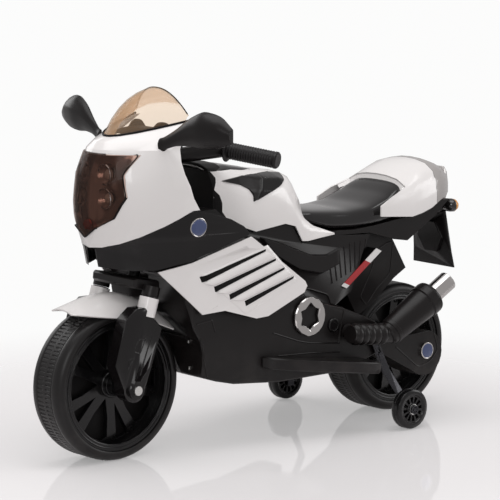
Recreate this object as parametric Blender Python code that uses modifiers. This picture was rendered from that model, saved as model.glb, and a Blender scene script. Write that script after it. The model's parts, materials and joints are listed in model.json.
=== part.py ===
# Kids electric motorcycle, a 6 V ride-on with training wheels.
# Metres. +X is forward, +Y is the rider's left, +Z is up, and the ground is z = 0.
import math

import bpy
import bmesh
from mathutils import Matrix, Vector

# Clearances
GAP = 0.0003                 # between pieces that touch
RUN = 0.00010                # radial, round a turning shaft
PLAY = 0.0015                # round a piece that moves
TRIM = 0.0006                # round a lens or badge set into a panel

# Wheels
FRONT_RADIUS = 0.120
REAR_RADIUS = 0.109
WHEELBASE = 0.594
FRONT_AXLE_X = 0.307
TYRE_HALF = 0.0375           # half the tyre's width
TREAD_HALF = 0.0225          # half the flat part of the tread
TYRE_DEPTH = 0.016
TYRE_WALL = 0.0035
RIM_HALF = 0.034
RIM_WALL = 0.011
RIM_LIP = 0.003
HUB_RADIUS = 0.017
HUB_END = RIM_HALF + 0.002   # the hub stands out of the rim by this much
SPOKE_HALF = 0.010           # half the depth of the spokes along the axle
AXLE_RADIUS = 0.0045
AXLE_HEAD_RADIUS = 0.0075
AXLE_HEAD_HEIGHT = 0.004
SPOKE_PAIRS = 5
WHEEL_STEPS = 28             # facets round a wheel

# Steering
RAKE = math.radians(22)
STEER_OFFSET = 0.0093        # the steering axis passes this far ahead of the front axle
COLUMN_RADIUS = 0.009
COLUMN_TOP = 0.385           # along the steering axis from the axle
LEG_INNER = 0.050
LEG_THICK = 0.026
LEG_BOSS_RADIUS = 0.0145
LEG_BOSS_HEIGHT = 0.005
COLLAR_RADIUS = 0.0155
COLLAR_WALL = 0.0025
COLLAR_LENGTH = 0.030
FENDER_WALL = 0.0025
CROWN_HALF = 0.056
GRIP_LENGTH = 0.092
GRIP_RADIUS = 0.0135
GRIP_WALL = 0.003
GRIP_FLANGE_RADIUS = 0.0185
GRIP_INNER_X = 0.127
GRIP_INNER_Y = 0.078
GRIP_INNER_Z = 0.483
GRIP_SWEEP = math.radians(27)
GRIP_DROP = math.radians(8)
BAR_CLAMP_LENGTH = 0.050
BUTTON_RADIUS = 0.006
BUTTON_HEIGHT = 0.005
BUTTON_Y = 0.052

# Body
WALL = 0.0028
PANEL_WALL = 0.0026
BODY_HALF = 0.100            # half the width of the lower body
FENDER_REACH = 0.1545        # from the steering foot to the fender's far corner, with play
WAIST_HALF = 0.070           # half the width of the body under the tank
POST_HALF = 0.050            # half the width of the post under the seat
SIDE_STAND = 0.012           # the side panels' outer face stands this far off the body
SIDE_HALF = BODY_HALF + SIDE_STAND
NOSE_BOW = 10.8              # the nose's plan is x = nose - NOSE_BOW * y * y

# Rear drive
ARM_INNER = 0.046
ARM_OUTER = 0.104
ARM_END_RADIUS = 0.038
MOTOR_RADIUS = 0.0155
MOTOR_LENGTH = 0.031
SHAFT_RADIUS = 0.0016
GEAR_MODULE = 0.00125
PINION_TEETH = 8
WHEEL_GEAR_TEETH = 32
COMPOUND_BIG_TEETH = 24
COMPOUND_SMALL_TEETH = 10
GEAR_BACKLASH = 0.00045
GEAR_FACE = 0.006

# Training wheels
TRAINER_RADIUS = 0.033
TRAINER_HALF = 0.010
TRAINER_AHEAD = 0.085        # from the rear axle forward to the training wheels
TRAINER_Y = 0.157
TRAINER_LIFT = 0.001
TRAINER_BORE = 0.004
STRAP_WIDTH = 0.014
STRAP_THICK = 0.003

# Exhaust
EXHAUST_Y = 0.126
MUFFLER_FRONT_RADIUS = 0.019
MUFFLER_REAR_RADIUS = 0.0285
TIP_RADIUS = 0.0165
EXHAUST_RISE = math.radians(29)

# Seat and rider's controls
PEDAL_RANGE = math.radians(10)
RING_RADIUS = 0.0325
RING_DRAWN_X = -0.029
RING_Z = 0.201
RING_LOBES = 6

# Electrics
BATTERY = (0.070, 0.047, 0.100)
CHARGE_RADIUS = 0.0075

REAR_AXLE_X = FRONT_AXLE_X - WHEELBASE
STEER_DIR = Vector((-math.sin(RAKE), 0, math.cos(RAKE)))
STEER_FORE = Vector((math.cos(RAKE), 0, math.sin(RAKE)))
FRONT_CENTRE = Vector((FRONT_AXLE_X, 0, FRONT_RADIUS))
REAR_CENTRE = Vector((REAR_AXLE_X, 0, REAR_RADIUS))
STEER_FOOT = FRONT_CENTRE + STEER_FORE * STEER_OFFSET
TRAINER_X = REAR_AXLE_X + TRAINER_AHEAD
DRAWN_AXLE_X = -0.287        # where the rear axle is in the outlines below
STRETCH = REAR_AXLE_X - DRAWN_AXLE_X
STRETCH_ZONE = 0.10          # the body takes up the difference over this length behind x = 0


def aft(points):
    """Moves drawn points whose x comes first, so that all behind the middle follows the rear axle."""
    moved = []
    for point in points:
        share = min(1.0, max(0.0, -point[0] / STRETCH_ZONE))
        moved.append((point[0] + STRETCH * share, *point[1:]))
    return moved


def start():
    """Empties the file and makes one collection for the parts and one for the cutters."""
    for old in list(bpy.data.objects):
        bpy.data.objects.remove(old, do_unlink=True)
    found = []
    for name in ("kids_electric_motorcycle", "cutters"):
        group = bpy.data.collections.new(name)
        bpy.context.scene.collection.children.link(group)
        found.append(group)
    return found


PARTS, TOOLS = start()


RING_X = aft([(RING_DRAWN_X, 0)])[0][0]


# Materials

def paint(name, colour, roughness, metallic=0.0, alpha=1.0):
    made = bpy.data.materials.new(name)
    made.use_nodes = True
    shader = made.node_tree.nodes["Principled BSDF"]
    shader.inputs["Base Color"].default_value = (*colour, 1.0)
    shader.inputs["Roughness"].default_value = roughness
    shader.inputs["Metallic"].default_value = metallic
    shader.inputs["Alpha"].default_value = alpha
    return made


FINISHES = {
    "white": ((0.86, 0.84, 0.84), 0.22, 0.0),
    "black": ((0.020, 0.019, 0.021), 0.38, 0.0),
    "gloss": ((0.016, 0.015, 0.017), 0.14, 0.0),
    "smoke": ((0.10, 0.06, 0.05), 0.08, 0.0),
    "amber_sheet": ((0.80, 0.58, 0.42), 0.05, 0.0),
    "chrome": ((0.85, 0.84, 0.84), 0.08, 1.0),
    "zinc": ((0.62, 0.62, 0.60), 0.30, 1.0),
    "steel": ((0.50, 0.50, 0.50), 0.32, 1.0),
    "amber": ((0.85, 0.38, 0.03), 0.15, 0.0),
    "silver": ((0.45, 0.44, 0.43), 0.20, 0.6),
    "nylon": ((0.80, 0.79, 0.74), 0.45, 0.0),
    "board": ((0.05, 0.22, 0.09), 0.50, 0.0),
    "grey": ((0.22, 0.22, 0.23), 0.50, 0.0),
    "red": ((0.55, 0.03, 0.03), 0.30, 0.0),
}


# Object helpers

def keep(obj, name, finish):
    """Names a finished piece, gives it its own material and puts it with the parts."""
    obj.name = name
    obj.data.name = name
    obj.data.materials.clear()
    obj.data.materials.append(paint(name + "_finish", *FINISHES[finish]))
    for group in list(obj.users_collection):
        group.objects.unlink(obj)
    PARTS.objects.link(obj)
    return obj


def as_tool(obj):
    """Turns an object into a cutter, which the build leaves out."""
    for group in list(obj.users_collection):
        group.objects.unlink(obj)
    TOOLS.objects.link(obj)
    obj.hide_render = True
    obj.display_type = "WIRE"
    return obj


def boolean(obj, tool, operation="DIFFERENCE"):
    step = obj.modifiers.new(operation.lower(), "BOOLEAN")
    step.operation = operation
    step.solver = "EXACT"
    step.object = as_tool(tool)
    return obj


def bevel(obj, width, segments=2, angle=40):
    step = obj.modifiers.new("round", "BEVEL")
    step.width = width
    step.segments = segments
    step.limit_method = "ANGLE"
    step.angle_limit = math.radians(angle)
    return obj


def baked(obj):
    """Replaces an object by a plain mesh of what its modifiers make."""
    depsgraph = bpy.context.evaluated_depsgraph_get()
    mesh = bpy.data.meshes.new_from_object(obj.evaluated_get(depsgraph))
    work = bmesh.new()
    work.from_mesh(mesh)
    work.transform(obj.matrix_world)
    bmesh.ops.remove_doubles(work, verts=work.verts, dist=1e-6)
    work.normal_update()
    bmesh.ops.recalc_face_normals(work, faces=work.faces)
    work.to_mesh(mesh)
    work.free()
    bpy.data.objects.remove(obj, do_unlink=True)
    made = bpy.data.objects.new("piece", mesh)
    TOOLS.objects.link(made)
    return made


def from_bmesh(work):
    work.normal_update()
    bmesh.ops.recalc_face_normals(work, faces=work.faces)
    mesh = bpy.data.meshes.new("piece")
    work.to_mesh(mesh)
    work.free()
    obj = bpy.data.objects.new("piece", mesh)
    TOOLS.objects.link(obj)
    return obj


def smooth(obj, angle=40):
    obj.data.shade_smooth()
    obj.data.set_sharp_from_angle(angle=math.radians(angle))
    return obj


def shift(obj, matrix):
    """Moves the mesh itself, so the object stays unturned at the origin."""
    obj.data.transform(matrix)
    obj.data.update()
    return obj


def axis_matrix(start_point, direction):
    """A frame at start_point whose local Z runs along direction."""
    turn = Vector(direction).to_track_quat("Z", "Y").to_matrix().to_4x4()
    return Matrix.Translation(Vector(start_point)) @ turn


def box(low, high):
    work = bmesh.new()
    bmesh.ops.create_cube(work, size=1)
    for vert in work.verts:
        for axis in range(3):
            vert.co[axis] = low[axis] if vert.co[axis] < 0 else high[axis]
    return from_bmesh(work)


def rod(start_point, end_point, radius, end_radius=None, sides=16):
    """A round bar or cone between two points."""
    a = Vector(start_point)
    b = Vector(end_point)
    work = bmesh.new()
    far = radius if end_radius is None else end_radius
    bmesh.ops.create_cone(work, cap_ends=True, segments=sides, radius1=radius, radius2=far,
                          depth=(b - a).length)
    work.transform(axis_matrix((a + b) / 2, b - a))
    return from_bmesh(work)


def turned(profile, start_point, direction, steps=24):
    """A closed profile of (radius, height) points turned about a line through start_point."""
    mesh = bpy.data.meshes.new("profile")
    count = len(profile)
    edges = [(i, (i + 1) % count) for i in range(count)]
    mesh.from_pydata([(r, 0, h) for r, h in profile], edges, [])
    obj = bpy.data.objects.new("piece", mesh)
    TOOLS.objects.link(obj)
    screw = obj.modifiers.new("turn", "SCREW")
    screw.steps = steps
    screw.render_steps = steps
    screw.use_merge_vertices = True
    screw.merge_threshold = 0.00001
    obj.matrix_world = axis_matrix(start_point, direction)
    bpy.context.view_layer.update()
    return smooth(baked(obj), 35)


def ring_profile(outer, inner, low, high):
    return [(outer, high), (outer, low), (inner, low), (inner, high)]


def flat(outlines, thickness, centre=0.0):
    """A flat plate from (u, v) outlines, the first outside and the rest holes, about w = centre."""
    curve = bpy.data.curves.new("outline", "CURVE")
    curve.dimensions = "2D"
    curve.fill_mode = "BOTH"
    curve.extrude = thickness / 2
    for points in outlines:
        line = curve.splines.new("POLY")
        line.points.add(len(points) - 1)
        for point, (u, v) in zip(line.points, points):
            point.co = (u, v, 0, 1)
        line.use_cyclic_u = True
    obj = bpy.data.objects.new("piece", curve)
    TOOLS.objects.link(obj)
    obj.matrix_world = Matrix.Translation((0, 0, centre))
    bpy.context.view_layer.update()
    return baked(obj)


STAND_UP = Matrix(((1, 0, 0, 0), (0, 0, 1, 0), (0, 1, 0, 0), (0, 0, 0, 1)))


def side_plate(outlines, y_low, y_high):
    """A plate whose outline is drawn in side view as (x, z), filling y_low to y_high."""
    obj = flat(outlines, y_high - y_low, (y_high + y_low) / 2)
    shift(obj, STAND_UP)
    obj.data.flip_normals()
    return obj


def cross_plate(outlines, x_low, x_high):
    """A plate whose outline is drawn from the front as (y, z), filling x_low to x_high."""
    obj = flat(outlines, x_high - x_low, (x_high + x_low) / 2)
    return shift(obj, Matrix(((0, 0, 1, 0), (1, 0, 0, 0), (0, 1, 0, 0), (0, 0, 0, 1))))


def mirrored(obj):
    """A copy of a left-hand piece for the right-hand side."""
    twin = obj.copy()
    twin.data = obj.data.copy()
    twin.data.transform(Matrix.Scale(-1, 4, (0, 1, 0)))
    twin.data.flip_normals()
    TOOLS.objects.link(twin)
    for step in twin.modifiers:
        if step.type == "BOOLEAN":
            tool = step.object.copy()
            tool.data = step.object.data.copy()
            tool.data.transform(Matrix.Scale(-1, 4, (0, 1, 0)))
            tool.data.flip_normals()
            step.object = as_tool(tool)
    return twin


def pair(obj, name, finish):
    """Keeps a left-hand piece and its mirror image."""
    twin = mirrored(obj)
    keep(obj, name + "_left", finish)
    keep(twin, name + "_right", finish)
    return obj, twin


def surface(grid, wall=0.0, closed=False):
    """Faces through a grid of points; wall gives it a thickness on the inside."""
    work = bmesh.new()
    rows = [[work.verts.new(p) for p in row] for row in grid]
    columns = len(rows[0])
    for upper, lower in zip(rows, rows[1:]):
        last = columns if closed else columns - 1
        for i in range(last):
            j = (i + 1) % columns
            work.faces.new((upper[i], upper[j], lower[j], lower[i]))
    if closed:
        work.faces.new(list(reversed(rows[0])))
        work.faces.new(rows[-1])
    obj = from_bmesh(work) if closed else open_sheet(work)
    if wall:
        thick = obj.modifiers.new("wall", "SOLIDIFY")
        thick.thickness = wall
        thick.offset = -1
        thick.use_even_offset = True
    return smooth(obj, 30)


def open_sheet(work):
    mesh = bpy.data.meshes.new("sheet")
    work.to_mesh(mesh)
    work.free()
    obj = bpy.data.objects.new("piece", mesh)
    TOOLS.objects.link(obj)
    return obj


def lerp(table, at):
    """The value at a place in a table of (place, value) pairs in rising order."""
    if at <= table[0][0]:
        return table[0][1]
    for (a, va), (b, vb) in zip(table, table[1:]):
        if at <= b:
            return va + (vb - va) * (at - a) / (b - a)
    return table[-1][1]


def circle(cx, cy, radius, count, start_angle=0.0):
    return [(cx + radius * math.cos(start_angle + math.tau * i / count),
             cy + radius * math.sin(start_angle + math.tau * i / count)) for i in range(count)]


def inset(points, distance):
    """An outline moved inwards by a distance, corner by corner."""
    area = sum(a[0] * b[1] - b[0] * a[1] for a, b in zip(points, points[1:] + points[:1]))
    side = 1 if area > 0 else -1
    made = []
    count = len(points)
    for i in range(count):
        before = Vector(points[i]) - Vector(points[i - 1])
        after = Vector(points[(i + 1) % count]) - Vector(points[i])
        n1 = Vector((-before.y, before.x)).normalized() * side
        n2 = Vector((-after.y, after.x)).normalized() * side
        middle = (n1 + n2).normalized()
        reach = distance / max(0.35, middle.dot(n1))
        made.append(tuple(Vector(points[i]) + middle * reach))
    return made


def middle():
    """Where the middle of the length was drawn, between the tail light and the front tyre."""
    tail = min(x for x, z in LIGHT_OUTLINE)
    return Vector(((FRONT_AXLE_X + FRONT_RADIUS + tail) / 2, 0, 0))


def pivot(name, centre, direction, parts, parent=None):
    """An empty on a joint's axis that carries the moving parts."""
    empty = bpy.data.objects.new(name, None)
    empty.empty_display_size = 0.03
    PARTS.objects.link(empty)
    empty.matrix_world = axis_matrix(Vector(centre) - middle(), direction)
    bpy.context.view_layer.update()
    if parent:
        empty.parent = parent
        empty.matrix_parent_inverse = parent.matrix_world.inverted()
    bpy.context.view_layer.update()
    for part in parts:
        part.parent = empty
        part.matrix_parent_inverse = empty.matrix_world.inverted()
    return empty


# Wheels

def tyre(centre, radius):
    """A moulded tyre: a flat tread, round shoulders and a seat over the rim."""
    inner = radius - TYRE_DEPTH + GAP
    rise = TYRE_HALF - TREAD_HALF
    drop = 0.011
    side = []
    for i in range(4):
        turn = math.radians(90) * i / 3
        side.append((radius - drop * (1 - math.cos(turn)), TREAD_HALF + rise * math.sin(turn)))
    side.append((inner, TYRE_HALF - 0.0012))
    side.append((inner, TYRE_HALF - 0.0012 - TYRE_WALL))
    side.append((radius - drop - 0.001, TYRE_HALF - TYRE_WALL))
    side.append((radius - TYRE_WALL, TREAD_HALF))
    profile = [(r, -h) for r, h in side] + [(r, h) for r, h in reversed(side)]
    return turned(profile, centre, (0, 1, 0), WHEEL_STEPS)


def polar(radius, degrees):
    return (radius * math.cos(math.radians(degrees)), radius * math.sin(math.radians(degrees)))


def rim(centre, radius, turn_degrees):
    """A rim of a ring, a hub and V-shaped spokes, with a window in and between the spokes."""
    outer = radius - TYRE_DEPTH
    inner = outer - RIM_WALL
    lip = RIM_HALF - RIM_LIP
    band = outer - RIM_LIP
    ring = turned([(outer, RIM_HALF), (outer, -RIM_HALF), (inner, -RIM_HALF), (inner, -lip), (band, -lip),
                   (band, lip), (inner, lip), (inner, RIM_HALF)], centre, (0, 1, 0), WHEEL_STEPS)
    bore = AXLE_RADIUS + RUN
    step = 360 / SPOKE_PAIRS
    holes = [circle(0, 0, bore + 0.004, 12)]
    near, far = HUB_RADIUS + 0.016, inner - 0.002
    for i in range(SPOKE_PAIRS):
        at = turn_degrees + step * i
        holes.append([polar(near, at), polar(far, at - 8), polar(far, at + 8)])
        mid = at + step / 2
        holes.append([polar(HUB_RADIUS + 0.007, mid), polar(near + 0.020, mid - 15),
                      polar(far - 0.005, mid - 16), polar(far, mid - 8), polar(far, mid + 8),
                      polar(far - 0.005, mid + 16), polar(near + 0.020, mid + 15)])
    disc = flat([circle(0, 0, outer - 0.0015, WHEEL_STEPS)] + holes, SPOKE_HALF * 2)
    hub = turned(ring_profile(HUB_RADIUS, bore, -HUB_END, HUB_END), centre, (0, 1, 0), 18)
    shift(disc, Matrix.Translation(centre) @ STAND_UP)
    disc.data.flip_normals()
    boolean(ring, disc, "UNION")
    boolean(ring, hub, "UNION")
    return smooth(baked(ring), 35)


def axle(centre, half_length, head=True):
    r, big = AXLE_RADIUS, AXLE_HEAD_RADIUS
    end = half_length + (AXLE_HEAD_HEIGHT if head else 0)
    profile = [(0, end), (big, end), (big, half_length), (r, half_length),
               (r, -half_length), (big, -half_length), (big, -end), (0, -end)]
    if not head:
        profile = [(0, end), (r, end), (r, -end), (0, -end)]
    return spindle(profile, centre, (0, 1, 0), 16)


def spindle(profile, start_point, direction, steps=24):
    """A solid turned piece whose profile starts and ends on the axis."""
    mesh = bpy.data.meshes.new("profile")
    mesh.from_pydata([(r, 0, h) for r, h in profile],
                     [(i, i + 1) for i in range(len(profile) - 1)], [])
    obj = bpy.data.objects.new("piece", mesh)
    TOOLS.objects.link(obj)
    screw = obj.modifiers.new("turn", "SCREW")
    screw.steps = steps
    screw.render_steps = steps
    screw.use_merge_vertices = True
    screw.merge_threshold = 0.00001
    obj.matrix_world = axis_matrix(start_point, direction)
    bpy.context.view_layer.update()
    return smooth(baked(obj), 35)


def wheels():
    front_tyre = keep(tyre(FRONT_CENTRE, FRONT_RADIUS), "front_tyre", "black")
    front_rim = keep(rim(FRONT_CENTRE, FRONT_RADIUS, 182), "front_rim", "gloss")
    rear_tyre = keep(tyre(REAR_CENTRE, REAR_RADIUS), "rear_tyre", "black")
    rear_rim = keep(rim(REAR_CENTRE, REAR_RADIUS, 188), "rear_rim", "gloss")
    return front_tyre, front_rim, rear_tyre, rear_rim


# Steering

def steer_point(along, fore, y=0.0):
    """A point given along the steering axis from the axle's height, and ahead of it."""
    point = STEER_FOOT + STEER_DIR * along + STEER_FORE * fore
    return Vector((point.x, y, point.z))


def fork_leg():
    """The flat front leg on the left: a tapered blade with a boss for the axle."""
    lower = circle(FRONT_AXLE_X, FRONT_RADIUS, LEG_BOSS_RADIUS + 0.006, 16, math.radians(11))
    blade = [(0.344, 0.162), (0.323, 0.232), (0.303, 0.2475), (0.285, 0.2475), (0.252, 0.212),
             (0.270, 0.161), (0.2865, 0.118)]
    bottom = [p for p in lower if p[1] < FRONT_RADIUS - 0.001]
    bottom.sort(key=lambda p: p[0])
    outline = blade + bottom + [(0.3275, 0.122)]
    leg = side_plate([outline], LEG_INNER, LEG_INNER + LEG_THICK)
    bevel(leg, 0.003, 1)
    leg = baked(leg)
    boss_end = LEG_INNER + LEG_THICK + LEG_BOSS_HEIGHT
    boss = rod((FRONT_AXLE_X, boss_end - 0.012, FRONT_RADIUS), (FRONT_AXLE_X, boss_end, FRONT_RADIUS),
               LEG_BOSS_RADIUS, sides=18)
    spacer = rod((FRONT_AXLE_X, HUB_END + RUN * 2, FRONT_RADIUS),
                 (FRONT_AXLE_X, LEG_INNER + 0.002, FRONT_RADIUS), LEG_BOSS_RADIUS - 0.003, sides=18)
    hole = rod((FRONT_AXLE_X, 0, FRONT_RADIUS), (FRONT_AXLE_X, 0.2, FRONT_RADIUS),
               AXLE_RADIUS + GAP, sides=16)
    boolean(leg, boss, "UNION")
    boolean(leg, spacer, "UNION")
    boolean(leg, hole)
    low = COLLAR_MIDDLE - COLLAR_LEAN * (COLLAR_LENGTH / 2 + GAP)
    boolean(leg, rod(low, low + COLLAR_LEAN * 0.06, COLLAR_RADIUS + GAP, sides=16))
    boolean(leg, fender_arm(1, GAP))
    leg = baked(leg)
    stub = rod(COLLAR_BASE, COLLAR_TOP, STUB_RADIUS, sides=16)
    boolean(leg, stub, "UNION")
    return smooth(baked(leg), 35)


LEG_MIDDLE = LEG_INNER + LEG_THICK / 2
STUB_RADIUS = COLLAR_RADIUS - COLLAR_WALL - GAP
COLLAR_MIDDLE = Vector((0.272, LEG_MIDDLE, 0.246))
COLLAR_LEAN = Vector((-0.30, 0, 0.95)).normalized()
COLLAR_BASE = COLLAR_MIDDLE - COLLAR_LEAN * 0.022
COLLAR_TOP = COLLAR_MIDDLE + COLLAR_LEAN * 0.0165
CROWN_OUTLINE = [(0.240, 0.2655), (0.292, 0.2756), (0.290, 0.2925), (0.239, 0.283)]


def fender_arm(y_side, spare=0.0):
    """The web between the fender and the collar round a fork leg."""
    near, far = 0.0345 - spare, 0.0530 + spare
    low, high = sorted((near * y_side, far * y_side))
    return box((0.262 - spare, low, 0.2365 - spare), (0.280 + spare, high, 0.2440 + spare))


def fender():
    """The white fender over the front wheel, with a collar round each fork leg."""
    stations = [(0.392, 0.2470, 0.2425, 0.026), (0.375, 0.2535, 0.2400, 0.034),
                (0.350, 0.2600, 0.2360, 0.041), (0.320, 0.2650, 0.2310, 0.0435),
                (0.291, 0.2640, 0.2260, 0.0440), (0.262, 0.2560, 0.2200, 0.0440),
                (0.232, 0.2420, 0.2120, 0.0435), (0.200, 0.2140, 0.1990, 0.0400)]
    grid = []
    for x, ridge, side, half in stations:
        row = []
        for i in range(-3, 4):
            across = i / 3
            z = side + (ridge - side) * (1 - abs(across) ** 2.2)
            row.append((x, half * across, z))
        grid.append(row)
    shell = baked(surface(grid, FENDER_WALL))
    for y_side in (1, -1):
        middle = Vector((COLLAR_MIDDLE.x, COLLAR_MIDDLE.y * y_side, COLLAR_MIDDLE.z))
        low = middle - COLLAR_LEAN * COLLAR_LENGTH / 2
        collar = rod(low, low + COLLAR_LEAN * COLLAR_LENGTH, COLLAR_RADIUS, sides=16)
        boolean(collar, fender_arm(y_side), "UNION")
        core = rod(low - COLLAR_LEAN * 0.02, low + COLLAR_LEAN * 0.05, STUB_RADIUS + GAP, sides=16)
        boolean(collar, core)
        boolean(shell, baked(collar), "UNION")
    return smooth(baked(shell), 30)


def crown():
    """The fork crown with its steering column, which turns in the body."""
    slab = side_plate([CROWN_OUTLINE], -CROWN_HALF, CROWN_HALF)
    bevel(slab, 0.004, 1)
    slab = baked(slab)
    foot = (CROWN_OUTLINE[0][1] + 0.010 - STEER_FOOT.z) / STEER_DIR.z
    column = rod(steer_point(foot, 0), steer_point(COLUMN_TOP, 0), COLUMN_RADIUS, sides=16)
    boolean(slab, column, "UNION")
    for y_side in (1, -1):
        top = Vector((COLLAR_TOP.x, COLLAR_TOP.y * y_side, COLLAR_TOP.z)) + COLLAR_LEAN * GAP * 2
        ear = rod(top, top + COLLAR_LEAN * 0.016, COLLAR_RADIUS - 0.002, sides=16)
        boolean(slab, ear, "UNION")
    return smooth(baked(slab), 35)


def grip_frame(y_side):
    inner = Vector((GRIP_INNER_X, GRIP_INNER_Y * y_side, GRIP_INNER_Z))
    flat_dir = Vector((-math.sin(GRIP_SWEEP), math.cos(GRIP_SWEEP) * y_side, 0))
    direction = (flat_dir * math.cos(GRIP_DROP) - Vector((0, 0, math.sin(GRIP_DROP)))).normalized()
    return inner, direction


def handlebar():
    """The handlebar: a clamp round the column's top, a bridge and a bar into each grip."""
    base = steer_point(COLUMN_TOP - BAR_CLAMP_LENGTH, 0)
    outer = COLUMN_RADIUS + 0.007
    bore = COLUMN_RADIUS + GAP
    top = BAR_CLAMP_LENGTH + 0.008
    clamp = rod(base, base + STEER_DIR * top, outer, sides=16)
    for y_side in (1, -1):
        inner, direction = grip_frame(y_side)
        root = base + STEER_DIR * (BAR_CLAMP_LENGTH - 0.012)
        root = Vector((root.x - 0.012, 0.0045 * y_side, root.z))
        arm = rod(root, inner - direction * 0.004, 0.0125, sides=12)
        bar = rod(inner - direction * 0.012, inner + direction * (GRIP_LENGTH - 0.006),
                  GRIP_RADIUS - GRIP_WALL - GAP, sides=12)
        boolean(clamp, arm, "UNION")
        boolean(clamp, bar, "UNION")
        pocket = rod(button_base(y_side) - Vector((0, 0, 0.004)), button_base(y_side) + Vector((0, 0, 0.03)),
                     BUTTON_RADIUS + GAP, sides=12)
        boolean(clamp, pocket)
    boolean(clamp, rod(base - STEER_DIR * 0.03, base + STEER_DIR * (BAR_CLAMP_LENGTH + GAP), bore, sides=16))
    return smooth(baked(clamp), 35)


def button_base(y_side):
    root = steer_point(COLUMN_TOP, 0)
    inner, direction = grip_frame(y_side)
    share = BUTTON_Y / GRIP_INNER_Y
    start = Vector((root.x - 0.012, 0, root.z - 0.012))
    at = start.lerp(Vector((inner.x, BUTTON_Y * y_side / share, inner.z)), share)
    return Vector((at.x, BUTTON_Y * y_side, at.z + 0.0095))


def grip(y_side):
    inner, direction = grip_frame(y_side)
    bore = GRIP_RADIUS - GRIP_WALL
    end = GRIP_LENGTH
    profile = [(0, end), (GRIP_RADIUS - 0.002, end), (GRIP_RADIUS, end - 0.003), (GRIP_RADIUS, 0.007),
               (GRIP_FLANGE_RADIUS, 0.006), (GRIP_FLANGE_RADIUS, 0.003), (bore, 0.003),
               (bore, end - 0.005), (0, end - 0.005)]
    return spindle(profile, inner, direction, 16)


def steering():
    leg = fork_leg()
    pieces = list(pair(leg, "fork_leg", "gloss"))
    pieces.append(keep(fender(), "front_fender", "white"))
    pieces.append(keep(crown(), "fork_crown", "gloss"))
    reach = LEG_INNER + LEG_THICK + LEG_BOSS_HEIGHT + GAP
    pieces.append(keep(axle(FRONT_CENTRE, reach), "front_axle", "zinc"))
    pieces.append(keep(handlebar(), "handlebar", "black"))
    pieces.append(keep(grip(1), "grip_left", "black"))
    pieces.append(keep(grip(-1), "grip_right", "black"))
    base = button_base(1)
    horn = rod(base - Vector((0, 0, 0.0015)), base + Vector((0, 0, BUTTON_HEIGHT + 0.0015)),
               BUTTON_RADIUS, sides=12)
    return pieces, keep(horn, "horn_button", "red")


# Nose: the cowl, its headlight and its windshield share one bowed surface

NOSE_LINE = [(0.295, 0.327), (0.320, 0.334), (0.339, 0.3375), (0.360, 0.347), (0.400, 0.355),
             (0.450, 0.350), (0.475, 0.339), (0.490, 0.328)]
HEADLIGHT = [(0.0, 0.3555), (0.050, 0.388), (0.0630, 0.421), (0.0575, 0.457), (0.0660, 0.4865), (0.0, 0.4880)]
CREASE_Z = 0.4925
SHIELD_FRONT = Vector((0.302, 0.0, 0.5110))
SHIELD_REAR = Vector((0.190, 0.070, 0.5330))
SHIELD_APEX = Vector((0.203, 0.0, 0.5820))
SHIELD_WALL = 0.0020
CREASE_HALF = 0.089
REAR_LINE = [(0.400, 0.205), (0.408, 0.215), (0.430, 0.222), (0.469, 0.231), (0.493, 0.226)]
MIRROR_FOOT = Vector((0.252, 0.082, 0.4990))


def nose_x(z, y, back=0.0):
    """How far forward the bowed nose surface is at a height and distance from the middle."""
    return lerp(NOSE_LINE, z) - NOSE_BOW * y * y - back


def nose_half(z, x):
    """The half width of the nose surface at a height and place along the machine."""
    return min(SIDE_HALF, math.sqrt(max(0.0, lerp(NOSE_LINE, z) - x) / NOSE_BOW))


def cowl_low(y):
    """The height of the cowl's lower edge, which rises to the sides."""
    return 0.339 + 3.3 * y * y + 110 * y ** 4


def shield_base(share):
    """The line where the windshield meets the cowl, from the middle to either side."""
    fall = share * share
    return Vector((SHIELD_FRONT.x + (SHIELD_REAR.x - SHIELD_FRONT.x) * fall, SHIELD_REAR.y * share,
                   SHIELD_FRONT.z + (SHIELD_REAR.z - SHIELD_FRONT.z) * fall))


def cowl_grid(back=0.0):
    shares = [0, 0.22, 0.44, 0.64, 0.82, 0.92, 1.0]
    shares = [-s for s in reversed(shares[1:])] + shares
    grid = []
    for step in range(6):
        row = []
        for share in shares:
            low_half = SIDE_HALF
            y_low = low_half * share
            z_low = cowl_low(y_low)
            rise = step / 5
            y_top = CREASE_HALF * share
            z = z_low + (CREASE_Z - z_low) * rise
            y = y_low + (y_top - y_low) * rise ** 2
            row.append((nose_x(z, y, back), y, z))
        y_end = row[-1][1]
        z_end = row[-1][2]
        x_end = min(lerp(REAR_LINE, z_end), row[-1][0] - 0.004)
        row.insert(0, (x_end, -y_end, z_end))
        row.append((x_end, y_end, z_end))
        grid.append(row)
    deck = []
    top = []
    for share in [-1.0] + shares + [1.0]:
        base = shield_base(share * 0.995)
        under = Vector((nose_x(CREASE_Z, CREASE_HALF * share), CREASE_HALF * share, CREASE_Z))
        middle = under.lerp(base, 0.5) + Vector((0.004, 0, 0.002)) * (1 - abs(share))
        deck.append(middle)
        top.append(base)
    for row in (deck, top):
        row[0] = row[0] - Vector((0.008, 0, 0))
        row[-1] = row[-1] - Vector((0.008, 0, 0))
        grid.append([tuple(p) for p in row])
    return grid


def nose_prism(outline, forward=0.42, behind=0.24):
    whole = outline + [(-y, z) for y, z in reversed(outline) if y > 0]
    return cross_plate([whole], behind, forward)


def cowl():
    shell = baked(surface(cowl_grid(), PANEL_WALL))
    boolean(shell, nose_prism(HEADLIGHT))
    for y_side in (1, -1):
        boolean(shell, cowl_boss(y_side), "UNION")
        boolean(shell, mirror_peg(y_side, GAP))
    return smooth(baked(shell), 30)


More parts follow.
